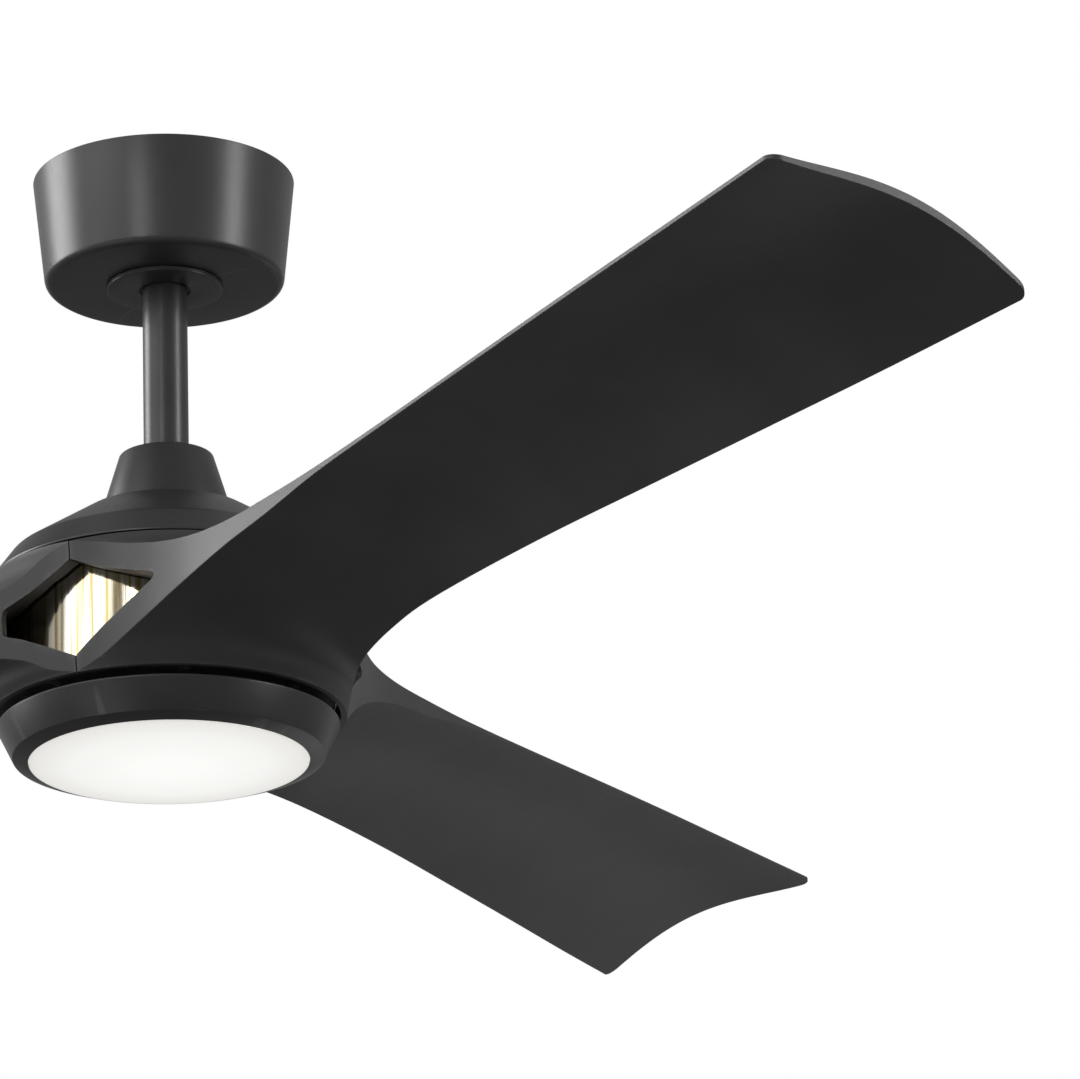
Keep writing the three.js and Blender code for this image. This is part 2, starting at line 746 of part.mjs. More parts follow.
// A point of the blade's skin: station along it, across from leading (0) to trailing (1).
function skinPoint(station, across, top) {
  const t = station / LAST_STATION;
  const lead = rail[top ? "leadTop" : "leadLow"].getPoint(t);
  const trail = rail[top ? "trailTop" : "trailLow"].getPoint(t);
  const chord = lead.distanceTo(trail);
  const point = lead.clone().lerp(trail, across);
  const hubShare = Math.max(0, 1 - station / BLEND.hubEnd) ** BLEND.hubPower;
  const start = rail[top ? "leadTop" : "leadLow"].getPoint(0);
  start.lerp(rail[top ? "trailTop" : "trailLow"].getPoint(0), across);
  point.addScaledVector(hubArc(across, top).sub(start), hubShare);
  const free = THREE.MathUtils.smoothstep(station, BLEND.wingStart, BLEND.wingEnd);
  point.z += free * CAMBER * chord * Math.sin(Math.PI * across ** CAMBER_LEAN);
  if (top) point.z += free * BELLY * Math.sin(Math.PI * across);
  return point;
}

// Rounded tip corners: how far the edges draw in towards mid chord at a given place.
function tipInset(x) {
  const into = Math.max(0, x - (TIP.x - TIP.cornerRadius));
  return TIP.cornerRadius - Math.sqrt(Math.max(0, TIP.cornerRadius ** 2 - into ** 2));
}

// The wing from just inside the hub band to the tip, as one closed skin.
function wing(stations, chordSteps) {
  const place = [];
  const sections = [-1, ...stations];
  for (const station of sections) {
    const x = skinPoint(Math.max(0, station), 0, true).x;
    const inset = tipInset(x) / TIP.chord;
    for (const top of [false, true]) {
      for (let j = 0; j <= chordSteps; j += 1) {
        const across = inset + (1 - 2 * inset) * (j / chordSteps);
        const point = skinPoint(Math.max(0, station), across, top);
        if (station < 0) {
          const shrink = (top ? ROOT.topRadius : ROOT.lowRadius) / Math.hypot(point.x, point.y);
          point.set(point.x * shrink, point.y * shrink, point.z + (top ? -ROOT.taper : ROOT.taper));
        }
        place.push(point.x, point.y, point.z);
      }
    }
  }
  const row = chordSteps + 1;
  const index = (section, top, j) => (section * 2 + (top ? 1 : 0)) * row + j;
  const faces = [];
  const quad = (a, b, c, d) => faces.push(a, b, c, a, c, d);
  const last = sections.length - 1;
  for (let i = 0; i < last; i += 1) {
    for (let j = 0; j < chordSteps; j += 1) {
      quad(index(i, true, j), index(i + 1, true, j), index(i + 1, true, j + 1), index(i, true, j + 1));
      quad(index(i, false, j), index(i, false, j + 1), index(i + 1, false, j + 1), index(i + 1, false, j));
    }
    quad(index(i, false, 0), index(i + 1, false, 0), index(i + 1, true, 0), index(i, true, 0));
    const end = chordSteps;
    quad(index(i, true, end), index(i + 1, true, end), index(i + 1, false, end), index(i, false, end));
  }
  for (let j = 0; j < chordSteps; j += 1) {
    quad(index(0, false, j), index(0, true, j), index(0, true, j + 1), index(0, false, j + 1));
    quad(index(last, false, j), index(last, false, j + 1), index(last, true, j + 1), index(last, true, j));
  }
  const geometry = new THREE.BufferGeometry();
  geometry.setAttribute("position", new THREE.Float32BufferAttribute(place, 3));
  geometry.setIndex(faces);
  return geometry;
}

// A sector about the fan's axis, less half a joint line on each side.
const SECTOR = { top: -200, bottom: -400 };
function sector(halfAngle, gap, reach) {
  const shape = new THREE.Shape();
  const half = THREE.MathUtils.degToRad(halfAngle);
  const apex = gap / Math.sin(half);
  const side = apex + reach * Math.cos(half);
  const spread = reach * Math.sin(half);
  shape.moveTo(apex, 0);
  shape.lineTo(side, -spread);
  shape.lineTo(side + reach, -spread);
  shape.lineTo(side + reach, spread);
  shape.lineTo(side, spread);
  shape.closePath();
  const depth = SECTOR.top - SECTOR.bottom;
  const prism = new THREE.ExtrudeGeometry(shape, { depth, bevelEnabled: false });
  return prism.translate(0, 0, SECTOR.bottom);
}

// The window at a hub seam, as a prism that runs straight in through the band there.
const WINDOW = { inner: 80, outer: 140, curveSteps: 3 };
function windowOutline() {
  const outline = new THREE.Shape();
  outline.moveTo(0, -263.8);
  outline.lineTo(15, -269.9);
  outline.lineTo(31, -275.2);
  outline.lineTo(53, -281.5);
  outline.quadraticCurveTo(58, -283.4, 53.2, -287);
  outline.lineTo(36.8, -295.2);
  outline.lineTo(19.6, -304.9);
  outline.lineTo(8.5, -312.4);
  outline.lineTo(0, -318.8);
  outline.lineTo(-19.1, -310.3);
  outline.lineTo(-32.6, -304.7);
  outline.lineTo(-41, -302.2);
  outline.quadraticCurveTo(-44.7, -301.4, -44.7, -298.6);
  outline.lineTo(-44.7, -290);
  outline.quadraticCurveTo(-44.6, -286.9, -41.6, -285.3);
  outline.lineTo(-26.6, -278.3);
  outline.lineTo(-15, -271.9);
  outline.closePath();
  return outline;
}

// Axes at a seam: sideways, up and outward.
function seamFrame(azimuth) {
  const out = new THREE.Vector3(...polar(1, azimuth, 0));
  return new THREE.Matrix4().makeBasis(new THREE.Vector3(-out.y, out.x, 0), new THREE.Vector3(0, 0, 1), out);
}

function seamWindow(azimuth) {
  const depth = WINDOW.outer - WINDOW.inner;
  const settings = { depth, bevelEnabled: false, curveSegments: WINDOW.curveSteps };
  const prism = new THREE.ExtrudeGeometry(windowOutline(), settings);
  return prism.translate(0, 0, WINDOW.inner).applyMatrix4(seamFrame(azimuth));
}

// The hollow behind the window's wall, which widens inwards, mostly behind the trailing face.
const POCKET = { front: 102.8, lean: 0.1, back: 75, middle: -291, left: 1.6, right: 1.05, height: 1.1 };
function seamPocket(azimuth) {
  const { front, lean, back, middle, left, right, height } = POCKET;
  const outline = windowOutline().getPoints(WINDOW.curveSteps).slice(0, -1);
  const place = [];
  for (const { x, y } of outline) place.push(x, y, front + lean * (y - middle));
  for (const { x, y } of outline) place.push(x * (x < 0 ? left : right), middle + height * (y - middle), back);
  const count = outline.length;
  place.push(0, middle, front, 0, middle, back);
  const faces = [];
  for (let i = 0; i < count; i += 1) {
    const next = (i + 1) % count;
    faces.push(i, count + i, count + next, i, count + next, next);
    faces.push(2 * count, i, next, 2 * count + 1, count + next, count + i);
  }
  const geometry = new THREE.BufferGeometry();
  geometry.setAttribute("position", new THREE.Float32BufferAttribute(place, 3));
  geometry.setIndex(faces);
  return geometry.applyMatrix4(seamFrame(azimuth));
}

function blade() {
  const stations = [0, 0.5, 1, 2, 3, 4, 5, 6, 7, 8, 9.3, 10.6, 11.9];
  const tipSteps = 2;
  for (let i = 1; i <= tipSteps; i += 1) {
    const edge = TIP.cornerRadius / TIP.lastBay;
    stations.push(LAST_STATION - edge * (1 - Math.sin((Math.PI / 2) * (i / tipSteps))));
  }
  const band = spun(
    [
      [BAND.inner, BAND.bottom],
      [BAND.lowRadius, BAND.bottom],
      [BAND.coreRadius, BAND.top + BAND.lip],
      [BAND.inner, BAND.top + BAND.lip],
    ],
    36,
  );
  const flange = ring(FLANGE.inner, BAND.inner + OVERCUT, FLANGE.bottom, FLANGE.top, 36);
  const ownSector = sector(60, SEAM_GAP, TIP.x);
  const root = toSolid(band)
    .add(toSolid(common(flange, sector(FLANGE.halfAngle, 0, TIP.x))))
    .intersect(toSolid(ownSector));
  let solid = toSolid(wing(stations, 6)).intersect(toSolid(ownSector)).add(root);
  for (const seam of [-60, 60]) {
    solid = solid.subtract(toSolid(seamWindow(seam))).subtract(toSolid(seamPocket(seam)));
  }
  for (const side of [1, -1]) {
    const [x, y] = polar(FLANGE.boltRadius, side * FLANGE.boltAngle, 0);
    const hole = bar([x, y, FLANGE.bottom - OVERCUT], [x, y, FLANGE.top + OVERCUT], FLANGE.holeRadius, 8);
    solid = solid.subtract(toSolid(hole));
  }
  return toGeometry(solid);
}

const bladeShape = blade();
BLADE_AZIMUTHS.forEach((azimuth, i) => {
  const mesh = add(`blade_${i + 1}`, bladeShape, FINISH.blade);
  mesh.rotation.z = THREE.MathUtils.degToRad(azimuth);
});
screwPlaces().forEach((place, i) => add(`blade_screw_${i + 1}`, bladeScrew(place), FINISH.blackScrew));

// ---------------------------------------------------------------- light kit
function kitPan() {
  const { topRadius, lowRadius, mouth, top, edge, lipTop, lipBottom, lipRadius, round, wall } = KIT;
  const shell = spun(
    [
      [mouth, top],
      [topRadius - edge, top],
      [topRadius, top - edge],
      [lowRadius, lipTop],
      [lowRadius - round / 3, lipTop - edge],
      [lowRadius - round, lipTop - round],
      [lipRadius, lipBottom],
      [lipRadius, lipBottom + wall],
      [lowRadius - wall - round / 2, lipTop + edge],
      [topRadius - wall - round / 2, top - wall],
      [mouth, top - wall],
    ],
    36,
  );
  return cut(shell, ...kitHoles());
}

function kitHoles() {
  return KIT_SCREW.angles.map((angle) => {
    const [x, y] = polar(KIT_SCREW.radius, angle, 0);
    const bottom = KIT_PLATE.top - KIT_PLATE.thick - OVERCUT;
    return bar([x, y, KIT.top + OVERCUT], [x, y, bottom], KIT_SCREW.holeRadius, 8);
  });
}

function kitPlate() {
  const { radius, top, thick } = KIT_PLATE;
  const disc = ring(SHAFT.radius + GAP, radius, top - thick, top, 36);
  const posts = KIT_POST.angles.map((angle) => {
    const [x, y] = polar(KIT_POST.radius, angle, 0);
    return bar([x, y, top - KIT_POST.length], [x, y, top - thick / 2], KIT_POST.thick, 8);
  });
  return cut(join(disc, ...posts), ...kitHoles());
}

function kitScrew(angle) {
  const [x, y] = polar(KIT_SCREW.radius, angle, 0);
  const headTop = KIT_PLATE.top - KIT_PLATE.thick - GAP;
  const headBottom = headTop - KIT_PLATE.thick;
  const head = bar([x, y, headBottom], [x, y, headTop], KIT_SCREW.headRadius, 8);
  const shank = bar([x, y, headBottom + OVERCUT], [x, y, KIT.top - GAP], KIT_SCREW.shankRadius, 8);
  return join(head, shank);
}

function shaftNut() {
  const { radius, height } = NUT;
  const top = KIT_PLATE.top - KIT_PLATE.thick - GAP;
  const hexagon = new THREE.CylinderGeometry(radius, radius, height, 6).rotateX(Math.PI / 2);
  hexagon.translate(0, 0, top - height / 2);
  const bore = bar([0, 0, top - height - OVERCUT], [0, 0, top + OVERCUT], SHAFT.radius + GAP, 28);
  return cut(hexagon, bore);
}

function ledBoard() {
  const { radius, thick, chipSize, chipHeight, top } = LED;
  const face = top - thick;
  const disc = spun([[0, face], [radius, face], [radius, top], [0, top]], 36);
  const half = chipSize / 2;
  const chips = [];
  for (const [ringRadius, count] of LED_RINGS) {
    for (let i = 0; i < count; i += 1) {
      const angle = (2 * Math.PI * (i + 0.5)) / count;
      const middle = top - thick / 2;
      const chip = block(ringRadius - half, ringRadius + half, -half, half, face - chipHeight, middle);
      chips.push(chip.rotateZ(angle));
    }
  }
  return join(disc, ...chips);
}

function lens() {
  const { radius, flangeRadius, bottom, wall, flangeThick, seatRise } = LENS;
  const sagAt = (r) => bottom + (KIT.lipBottom - bottom) * (r / radius) ** 2;
  const profile = [[0, bottom]];
  const steps = 3;
  for (let i = 1; i <= steps; i += 1) {
    const r = (radius * i) / steps;
    profile.push([r, sagAt(r)]);
  }
  const seatZ = KIT.lipTop + seatRise;
  const inside = radius - wall;
  profile.push(
    [radius, seatZ],
    [flangeRadius, seatZ],
    [flangeRadius, seatZ + flangeThick],
    [inside, seatZ + flangeThick],
    [inside, sagAt(inside) + wall],
  );
  for (let i = steps - 1; i >= 0; i -= 1) {
    const r = (inside * i) / steps;
    profile.push([r, sagAt(r) + wall]);
  }
  return spun(profile, 36);
}

function ledDriver() {
  const { x0, x1, halfWidth, clear } = DRIVER;
  const top = KIT_PLATE.top - KIT_PLATE.thick - GAP;
  return block(x0, x1, -halfWidth, halfWidth, LED.top + clear, top);
}

add("shaft_nut", shaftNut(), FINISH.zinc);
add("kit_plate", kitPlate(), FINISH.zinc);
add("kit_pan", kitPan(), FINISH.black);
KIT_SCREW.angles.forEach((angle, i) => add(`kit_screw_${i + 1}`, kitScrew(angle), FINISH.zinc));
add("led_driver", ledDriver(), FINISH.aluminium);
add("led_board", ledBoard(), FINISH.whiteBoard);
add("light_diffuser", lens(), FINISH.lens);

export default fan;
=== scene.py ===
import json
import math

import bmesh
import bpy
import numpy as np
from mathutils import Matrix, Vector


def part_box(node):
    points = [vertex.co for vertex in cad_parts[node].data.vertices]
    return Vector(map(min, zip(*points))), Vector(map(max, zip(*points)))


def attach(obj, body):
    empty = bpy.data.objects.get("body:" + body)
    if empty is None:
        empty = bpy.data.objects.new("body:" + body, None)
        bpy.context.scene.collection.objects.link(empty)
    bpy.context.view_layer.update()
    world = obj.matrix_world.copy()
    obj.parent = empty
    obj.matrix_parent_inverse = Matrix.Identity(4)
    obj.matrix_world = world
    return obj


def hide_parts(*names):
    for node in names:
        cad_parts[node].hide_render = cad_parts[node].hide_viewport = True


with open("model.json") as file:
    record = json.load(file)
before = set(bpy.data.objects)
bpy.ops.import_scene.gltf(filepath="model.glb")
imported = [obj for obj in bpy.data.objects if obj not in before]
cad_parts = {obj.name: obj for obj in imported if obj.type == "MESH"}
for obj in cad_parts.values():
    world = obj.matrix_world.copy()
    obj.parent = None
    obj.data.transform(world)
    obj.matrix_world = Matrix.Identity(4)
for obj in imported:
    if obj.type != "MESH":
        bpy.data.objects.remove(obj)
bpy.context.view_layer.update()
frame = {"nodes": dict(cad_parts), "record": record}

MM = 0.001
TURN_STEPS = 192  # segments round a turned piece
FILLET_STEPS = 6  # segments round a filleted corner
FILLET_SHARE = 0.49  # most of a side that one fillet may take
STRAIGHT = math.radians(89)  # a corner whose half angle is wider than this gets no fillet
WELD = 1e-7  # points closer than this, in metres, become one
HOLE_STEPS = 24  # sides of a drilled hole
CREASE, BLADE_CREASE = 32.0, 30.0  # degrees: an edge sharper than this stays sharp


# ------------------------------------------------------------------ materials
RUBBED_FROM, RUBBED_TO = 0.505, 0.56  # pointiness where an edge starts to be rubbed, and is full
RUBBED_DARK, RUBBED_PALE = 3.0, 4.5  # how many times lighter than the surface a rubbed edge is
BAND_LENGTH = 0.314  # the length of one band in a wave texture of scale 1
BAND_RELIEF, TRACK_RELIEF, GOLD_RELIEF, LENS_RELIEF = 0.15 * MM, 0.03 * MM, 0.05 * MM, 0.01 * MM
GLOW_REACH = 0.955  # the glow's radius, as a share of the lens flange's


class Shader:
    """A material's node tree, with a Principled shader and object coordinates to build on."""

    def __init__(self, name):
        self.material = bpy.data.materials.new(name)
        self.material.use_nodes = True
        self.tree = self.material.node_tree
        self.principled = self.tree.nodes["Principled BSDF"]
        self.place = self.add("ShaderNodeTexCoord").outputs["Object"]

    def add(self, kind, **settings):
        node = self.tree.nodes.new(kind)
        for key, value in settings.items():
            setattr(node, key, value)
        return node

    def link(self, out, socket):
        self.tree.links.new(out, socket)

    def feed(self, out, name):
        self.link(out, self.principled.inputs[name])

    def set(self, **values):
        for key, value in values.items():
            self.principled.inputs[key.replace("_", " ")].default_value = value

    def scaled(self, scale):
        mapping = self.add("ShaderNodeMapping")
        mapping.inputs["Scale"].default_value = scale
        self.link(self.place, mapping.inputs["Vector"])
        return mapping.outputs["Vector"]

    def noise(self, place, scale, detail=3.0):
        node = self.add("ShaderNodeTexNoise")
        node.inputs["Scale"].default_value = scale
        node.inputs["Detail"].default_value = detail
        self.link(place, node.inputs["Vector"])
        return node.outputs["Fac"]

    def ranged(self, value, low, high, from_low=0.3, from_high=0.7):
        node = self.add("ShaderNodeMapRange")
        node.inputs["From Min"].default_value = from_low
        node.inputs["From Max"].default_value = from_high
        node.inputs["To Min"].default_value = low
        node.inputs["To Max"].default_value = high
        self.link(value, node.inputs["Value"])
        return node.outputs["Result"]

    def ramp(self, value, stops):
        node = self.add("ShaderNodeValToRGB")
        node.color_ramp.elements[0].position = stops[0][0]
        node.color_ramp.elements[0].color = (*stops[0][1], 1)
        node.color_ramp.elements[1].position = stops[-1][0]
        node.color_ramp.elements[1].color = (*stops[-1][1], 1)
        for position, colour in stops[1:-1]:
            node.color_ramp.elements.new(position).color = (*colour, 1)
        self.link(value, node.inputs["Fac"])
        return node.outputs["Color"]

    def mix(self, share, first, second):
        node = self.add("ShaderNodeMix", data_type="RGBA")
        self.link(share, node.inputs["Factor"])
        self.link(first, node.inputs["A"])
        self.link(second, node.inputs["B"])
        return node.outputs["Result"]

    def bump(self, height, distance):
        node = self.add("ShaderNodeBump")
        node.inputs["Distance"].default_value = distance
        self.link(height, node.inputs["Height"])
        self.feed(node.outputs["Normal"], "Normal")


def tinted(colour, factor):
    return tuple(min(1.0, c * factor) for c in colour)


def surface(name, colour, rough, metallic=0.0, spread=0.15, patch=18.0, grain=900.0, depth=0.02,
            stretch=(1, 1, 1), wear=0.0):
    """A surface with cloudy colour, uneven gloss, a fine relief and edges rubbed lighter.

    spread is how far the colour varies, patch and grain are the scales of the clouds and of the
    relief, and depth is the relief's height in millimetres.
    """
    s = Shader(name)
    place = s.scaled(stretch)
    clouds = s.noise(place, patch)
    body = s.ramp(clouds, [(0.3, tinted(colour, 1 - spread)), (0.7, tinted(colour, 1 + spread))])
    fine = s.noise(place, grain, detail=2.0)
    if wear:
        edge = s.add("ShaderNodeNewGeometry").outputs["Pointiness"]
        rubbed = s.ranged(edge, 0.0, wear, RUBBED_FROM, RUBBED_TO)
        tones = [(0.0, tinted(colour, RUBBED_DARK)), (1.0, tinted(colour, RUBBED_PALE))]
        body = s.mix(rubbed, body, s.ramp(clouds, tones))
    s.feed(body, "Base Color")
    s.feed(s.ranged(fine, *rough), "Roughness")
    s.bump(fine, depth * MM)
    s.set(Metallic=metallic)
    return s.material


def banded(name, colour, dark, rough, metallic, pitch, axis):
    """A stack or winding: fine parallel lines along one axis, over a slightly uneven gloss."""
    s = Shader(name)
    wave = s.add("ShaderNodeTexWave", wave_type="BANDS", bands_direction=axis)
    wave.inputs["Scale"].default_value = BAND_LENGTH / pitch
    wave.inputs["Distortion"].default_value = 0.6
    s.link(s.place, wave.inputs["Vector"])
    lines = wave.outputs["Fac"]
    s.feed(s.ramp(lines, [(0.15, dark), (0.6, colour)]), "Base Color")
    s.feed(s.ranged(s.noise(s.place, scale=60.0), *rough), "Roughness")
    s.bump(lines, BAND_RELIEF)
    s.set(Metallic=metallic)
    return s.material


def circuit_board():
    """Solder mask over a grid of paler tracks."""
    s = Shader("circuit_board")
    cells = s.add("ShaderNodeTexVoronoi", feature="DISTANCE_TO_EDGE", distance="MANHATTAN")
    cells.inputs["Scale"].default_value = 210.0
    s.link(s.place, cells.inputs["Vector"])
    tracks = cells.outputs["Distance"]
    s.feed(s.ramp(tracks, [(0.02, (0.10, 0.36, 0.18)), (0.12, (0.02, 0.13, 0.06))]), "Base Color")
    s.feed(s.ranged(s.noise(s.place, scale=300.0), low=0.3, high=0.5), "Roughness")
    s.bump(tracks, TRACK_RELIEF)
    return s.material


def lit_lens(centre_z, radius):
    """Opal acrylic lit from behind: brightest in the middle, warmer and dimmer at the rim."""
    s = Shader("frosted_lens")
    mapping = s.add("ShaderNodeMapping", vector_type="TEXTURE")
    mapping.inputs["Location"].default_value = (0, 0, centre_z)
    mapping.inputs["Scale"].default_value = (radius, radius, radius)
    s.link(s.place, mapping.inputs["Vector"])
    glow = s.add("ShaderNodeTexGradient", gradient_type="SPHERICAL")
    s.link(mapping.outputs["Vector"], glow.inputs["Vector"])
    from_rim = [
        (0.0, (0.66, 0.64, 0.60)),
        (0.06, (0.76, 0.75, 0.73)),
        (0.3, (0.88, 0.88, 0.86)),
        (0.8, (0.97, 0.97, 0.95)),
    ]
    s.feed(s.ramp(glow.outputs["Fac"], from_rim), "Emission Color")
    mottle = s.noise(s.place, scale=500.0)
    s.feed(s.ramp(mottle, [(0.3, (0.86, 0.85, 0.82)), (0.7, (0.92, 0.91, 0.89))]), "Base Color")
    s.feed(s.ranged(mottle, low=0.42, high=0.52), "Roughness")
    s.bump(mottle, LENS_RELIEF)
    s.set(Emission_Strength=0.80, Specular_IOR_Level=0.2)
    return s.material


def gold_with_painted_streaks():
    """Polished plating with faint upright drawing lines, so that reflections run up and down, and a
    base colour streaked upright from dark to pale gold: drawing lines, and also painted reflection
    streaks.
    """
    s = Shader("gold_sleeve")
    lines = s.noise(s.scaled((1, 1, 0.02)), scale=420.0, detail=4.0)
    # Painted reflection: the base colour runs from dark to pale gold in upright streaks that stand
    # in for streaked reflections, as well as the drawing lines.
    tones = [
        (0.36, (0.48, 0.36, 0.14)),
        (0.46, (0.70, 0.60, 0.38)),
        (0.56, (0.80, 0.74, 0.63)),
        (0.7, (0.84, 0.79, 0.70)),
    ]
    s.feed(s.ramp(lines, tones), "Base Color")
    s.feed(s.ranged(lines, low=0.05, high=0.16), "Roughness")
    s.bump(lines, GOLD_RELIEF)
    s.set(Metallic=1.0)
    return s.material


SURFACES = {
    "satin_black": dict(
        colour=(0.040, 0.040, 0.042), rough=(0.30, 0.40), metallic=0.35, depth=0.012, wear=0.35),
    "blade_black": dict(
        colour=(0.033, 0.033, 0.034), rough=(0.44, 0.54), grain=1500.0, wear=0.3),
    "black_screw": dict(
        colour=(0.045, 0.045, 0.048), rough=(0.3, 0.42), metallic=0.5, grain=800.0, wear=0.3),
    "zinc_plate": dict(
        colour=(0.60, 0.61, 0.63), rough=(0.28, 0.46), metallic=0.95, patch=60.0, grain=350.0,
        wear=0.1),
    "turned_steel": dict(
        colour=(0.50, 0.51, 0.53), rough=(0.2, 0.34), metallic=1.0, grain=600.0,
        stretch=(1, 1, 9)),
    "rotor_iron": dict(
        colour=(0.055, 0.057, 0.06), rough=(0.45, 0.65), metallic=0.7, grain=500.0, depth=0.05,
        wear=0.3),
    "magnet": dict(
        colour=(0.10, 0.095, 0.09), rough=(0.6, 0.8), metallic=0.2, grain=1200.0, depth=0.04,
        wear=0.15),
    "aluminium": dict(
        colour=(0.70, 0.71, 0.72), rough=(0.25, 0.42), metallic=1.0, grain=400.0,
        stretch=(1, 14, 1)),
    "nylon": dict(
        colour=(0.045, 0.045, 0.048), rough=(0.45, 0.6), grain=1400.0, depth=0.03, wear=0.2),
    "led_board": dict(
        colour=(0.86, 0.86, 0.83), rough=(0.35, 0.5), spread=0.03, grain=700.0),
    "cable": dict(
        colour=(0.03, 0.03, 0.032), rough=(0.5, 0.65), grain=800.0, depth=0.03),
}
WOUND = {
    "lamination": dict(
        colour=(0.34, 0.35, 0.37), dark=(0.12, 0.12, 0.13), rough=(0.35, 0.5), metallic=0.9,
        pitch=0.8 * MM, axis="Z"),
    "copper_wire": dict(
        colour=(0.66, 0.30, 0.12), dark=(0.25, 0.09, 0.03), rough=(0.22, 0.35), metallic=0.9,
        pitch=1.6 * MM, axis="X"),
}
lens_low, lens_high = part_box("light_diffuser")
FINISH = {name: surface(name, **look) for name, look in SURFACES.items()}
FINISH.update((name, banded(name, **look)) for name, look in WOUND.items())
FINISH["gold_sleeve"] = gold_with_painted_streaks()
FINISH["circuit_board"] = circuit_board()
FINISH["frosted_lens"] = lit_lens(lens_low.z, lens_high.x * GLOW_REACH)


# ------------------------------------------------------------------ mesh helpers
def finished(mesh, node, slot, body, crease=CREASE):
    """Makes the piece that stands for a CAD node: smooth except at real edges, in its finish."""
    mesh.shade_smooth()
    mesh.set_sharp_from_angle(angle=math.radians(crease))
    piece = bpy.data.objects.new(node + "_fine", mesh)
    bpy.context.scene.collection.objects.link(piece)
    mesh.materials.clear()
    mesh.materials.append(FINISH[slot])
    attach(piece, body)
    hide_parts(node)
    return piece


def filleted(corners):
    """A closed outline from (radius, z, fillet) corners, with an arc at each filleted one."""
    points = [np.array(c[:2], float) for c in corners]
    outline = []
    for i, (here, corner) in enumerate(zip(points, corners)):
        fillet = corner[2] if len(corner) > 2 else 0.0
        back = points[i - 1] - here
        ahead = points[(i + 1) % len(points)] - here
        reach_back, reach_ahead = np.linalg.norm(back), np.linalg.norm(ahead)
        back, ahead = back / reach_back, ahead / reach_ahead
        half = math.acos(max(-1.0, min(1.0, float(back @ ahead)))) / 2
        if fillet == 0 or half > STRAIGHT:
            outline.append(here)
            continue
        cut = min(fillet / math.tan(half), FILLET_SHARE * reach_back, FILLET_SHARE * reach_ahead)
        middle = (back + ahead) / np.linalg.norm(back + ahead)
        centre = here + middle * cut / math.cos(half)
        start = here + back * cut - centre
        end = here + ahead * cut - centre
        swing = math.pi - 2 * half
        for step in range(FILLET_STEPS + 1):
            share = step / FILLET_STEPS
            arm = math.sin((1 - share) * swing) * start + math.sin(share * swing) * end
            outline.append(centre + arm / math.sin(swing))
    return np.array(outline)


def turned_mesh(name, outline, first=0.0, last=360.0, steps=TURN_STEPS):
    """The outline of (radius, z) points swept about the fan's axis, from one azimuth to another."""
    full = last - first >= 360
    angles = np.radians(np.linspace(first, last, steps + 1))
    if full:
        angles = angles[:-1]
    outline = np.asarray(outline, float)
    rows, columns = len(angles), len(outline)
    x = np.cos(angles)[:, None] * outline[None, :, 0]
    y = np.sin(angles)[:, None] * outline[None, :, 0]
    z = np.broadcast_to(outline[None, :, 1], x.shape)
    points = np.stack([x, y, z], 2).reshape(-1, 3)
    faces = []
    for i in range(rows if full else rows - 1):
        j = (i + 1) % rows
        for k in range(columns):
            m = (k + 1) % columns
            faces.append((i * columns + k, j * columns + k, j * columns + m, i * columns + m))
    if not full:
        faces.append(tuple(range(columns - 1, -1, -1)))
        faces.append(tuple((rows - 1) * columns + k for k in range(columns)))
    return closed_mesh(name, points, faces)


def prism_mesh(name, outline, along):
    """A flat outline swept along a straight line, both in millimetres."""
    points = [Vector(p) for p in outline]
    points += [p + Vector(along) for p in points]
    n = len(outline)
    faces = [tuple(range(n)), tuple(range(2 * n - 1, n - 1, -1))]
    faces += [(i, (i + 1) % n, n + (i + 1) % n, n + i) for i in range(n)]
    return closed_mesh(name, [p * MM for p in points], faces)


def closed_mesh(name, points, faces):
    mesh = bpy.data.meshes.new(name)
    mesh.from_pydata([tuple(p) for p in points], [], faces)
    work = bmesh.new()
    work.from_mesh(mesh)
    bmesh.ops.remove_doubles(work, verts=work.verts, dist=WELD)
    bmesh.ops.recalc_face_normals(work, faces=work.faces)
    work.to_mesh(mesh)
    work.free()
    return mesh


def joined(name, *meshes):
    """Several closed meshes as one."""
    work = bmesh.new()
    for mesh in meshes:
        work.from_mesh(mesh)
    result = bpy.data.meshes.new(name)
    work.to_mesh(result)
    work.free()
    return result


def combined(base, steps):
    """The base mesh after a list of ("UNION" | "DIFFERENCE" | "INTERSECT", mesh) steps."""
    scene = bpy.context.scene.collection
    holder = bpy.data.objects.new("boolean_base", base)
    scene.objects.link(holder)
    tools = []
    for operation, mesh in steps:
        tool = bpy.data.objects.new("boolean_tool", mesh)
        scene.objects.link(tool)
        modifier = holder.modifiers.new(operation, "BOOLEAN")
        modifier.operation = operation
        modifier.solver = "MANIFOLD"
        modifier.object = tool
        tools.append(tool)
    graph = bpy.context.evaluated_depsgraph_get()
    result = bpy.data.meshes.new_from_object(holder.evaluated_get(graph))
    for thing in [holder, *tools]:
        bpy.data.objects.remove(thing)
    return result


def drilled(name, azimuth, reach, radius, low, depth):
    """The step that cuts an upright round hole, in millimetres and degrees."""
    a = math.radians(azimuth)
    x, y = reach * math.cos(a), reach * math.sin(a)
    angles = np.linspace(0, 2 * math.pi, HOLE_STEPS, endpoint=False)
    ring = [(x + radius * math.cos(t), y + radius * math.sin(t), low) for t in angles]
    return "DIFFERENCE", prism_mesh(name, ring, (0, 0, depth))


def turned(node, corners, slot, body):
    finished(turned_mesh(node, filleted(corners)), node, slot, body)


def tube(node, wall, edge, slot, body):
    """A plain tube with rounded ends, in the CAD tube's place."""
    low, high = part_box(node)
    outer, bore = high.x, high.x - wall
    corners = [
        (outer, low.z, edge),
        (outer, high.z, edge),
        (bore, high.z, edge),
        (bore, low.z, edge),
    ]
    turned(node, corners, slot, body)


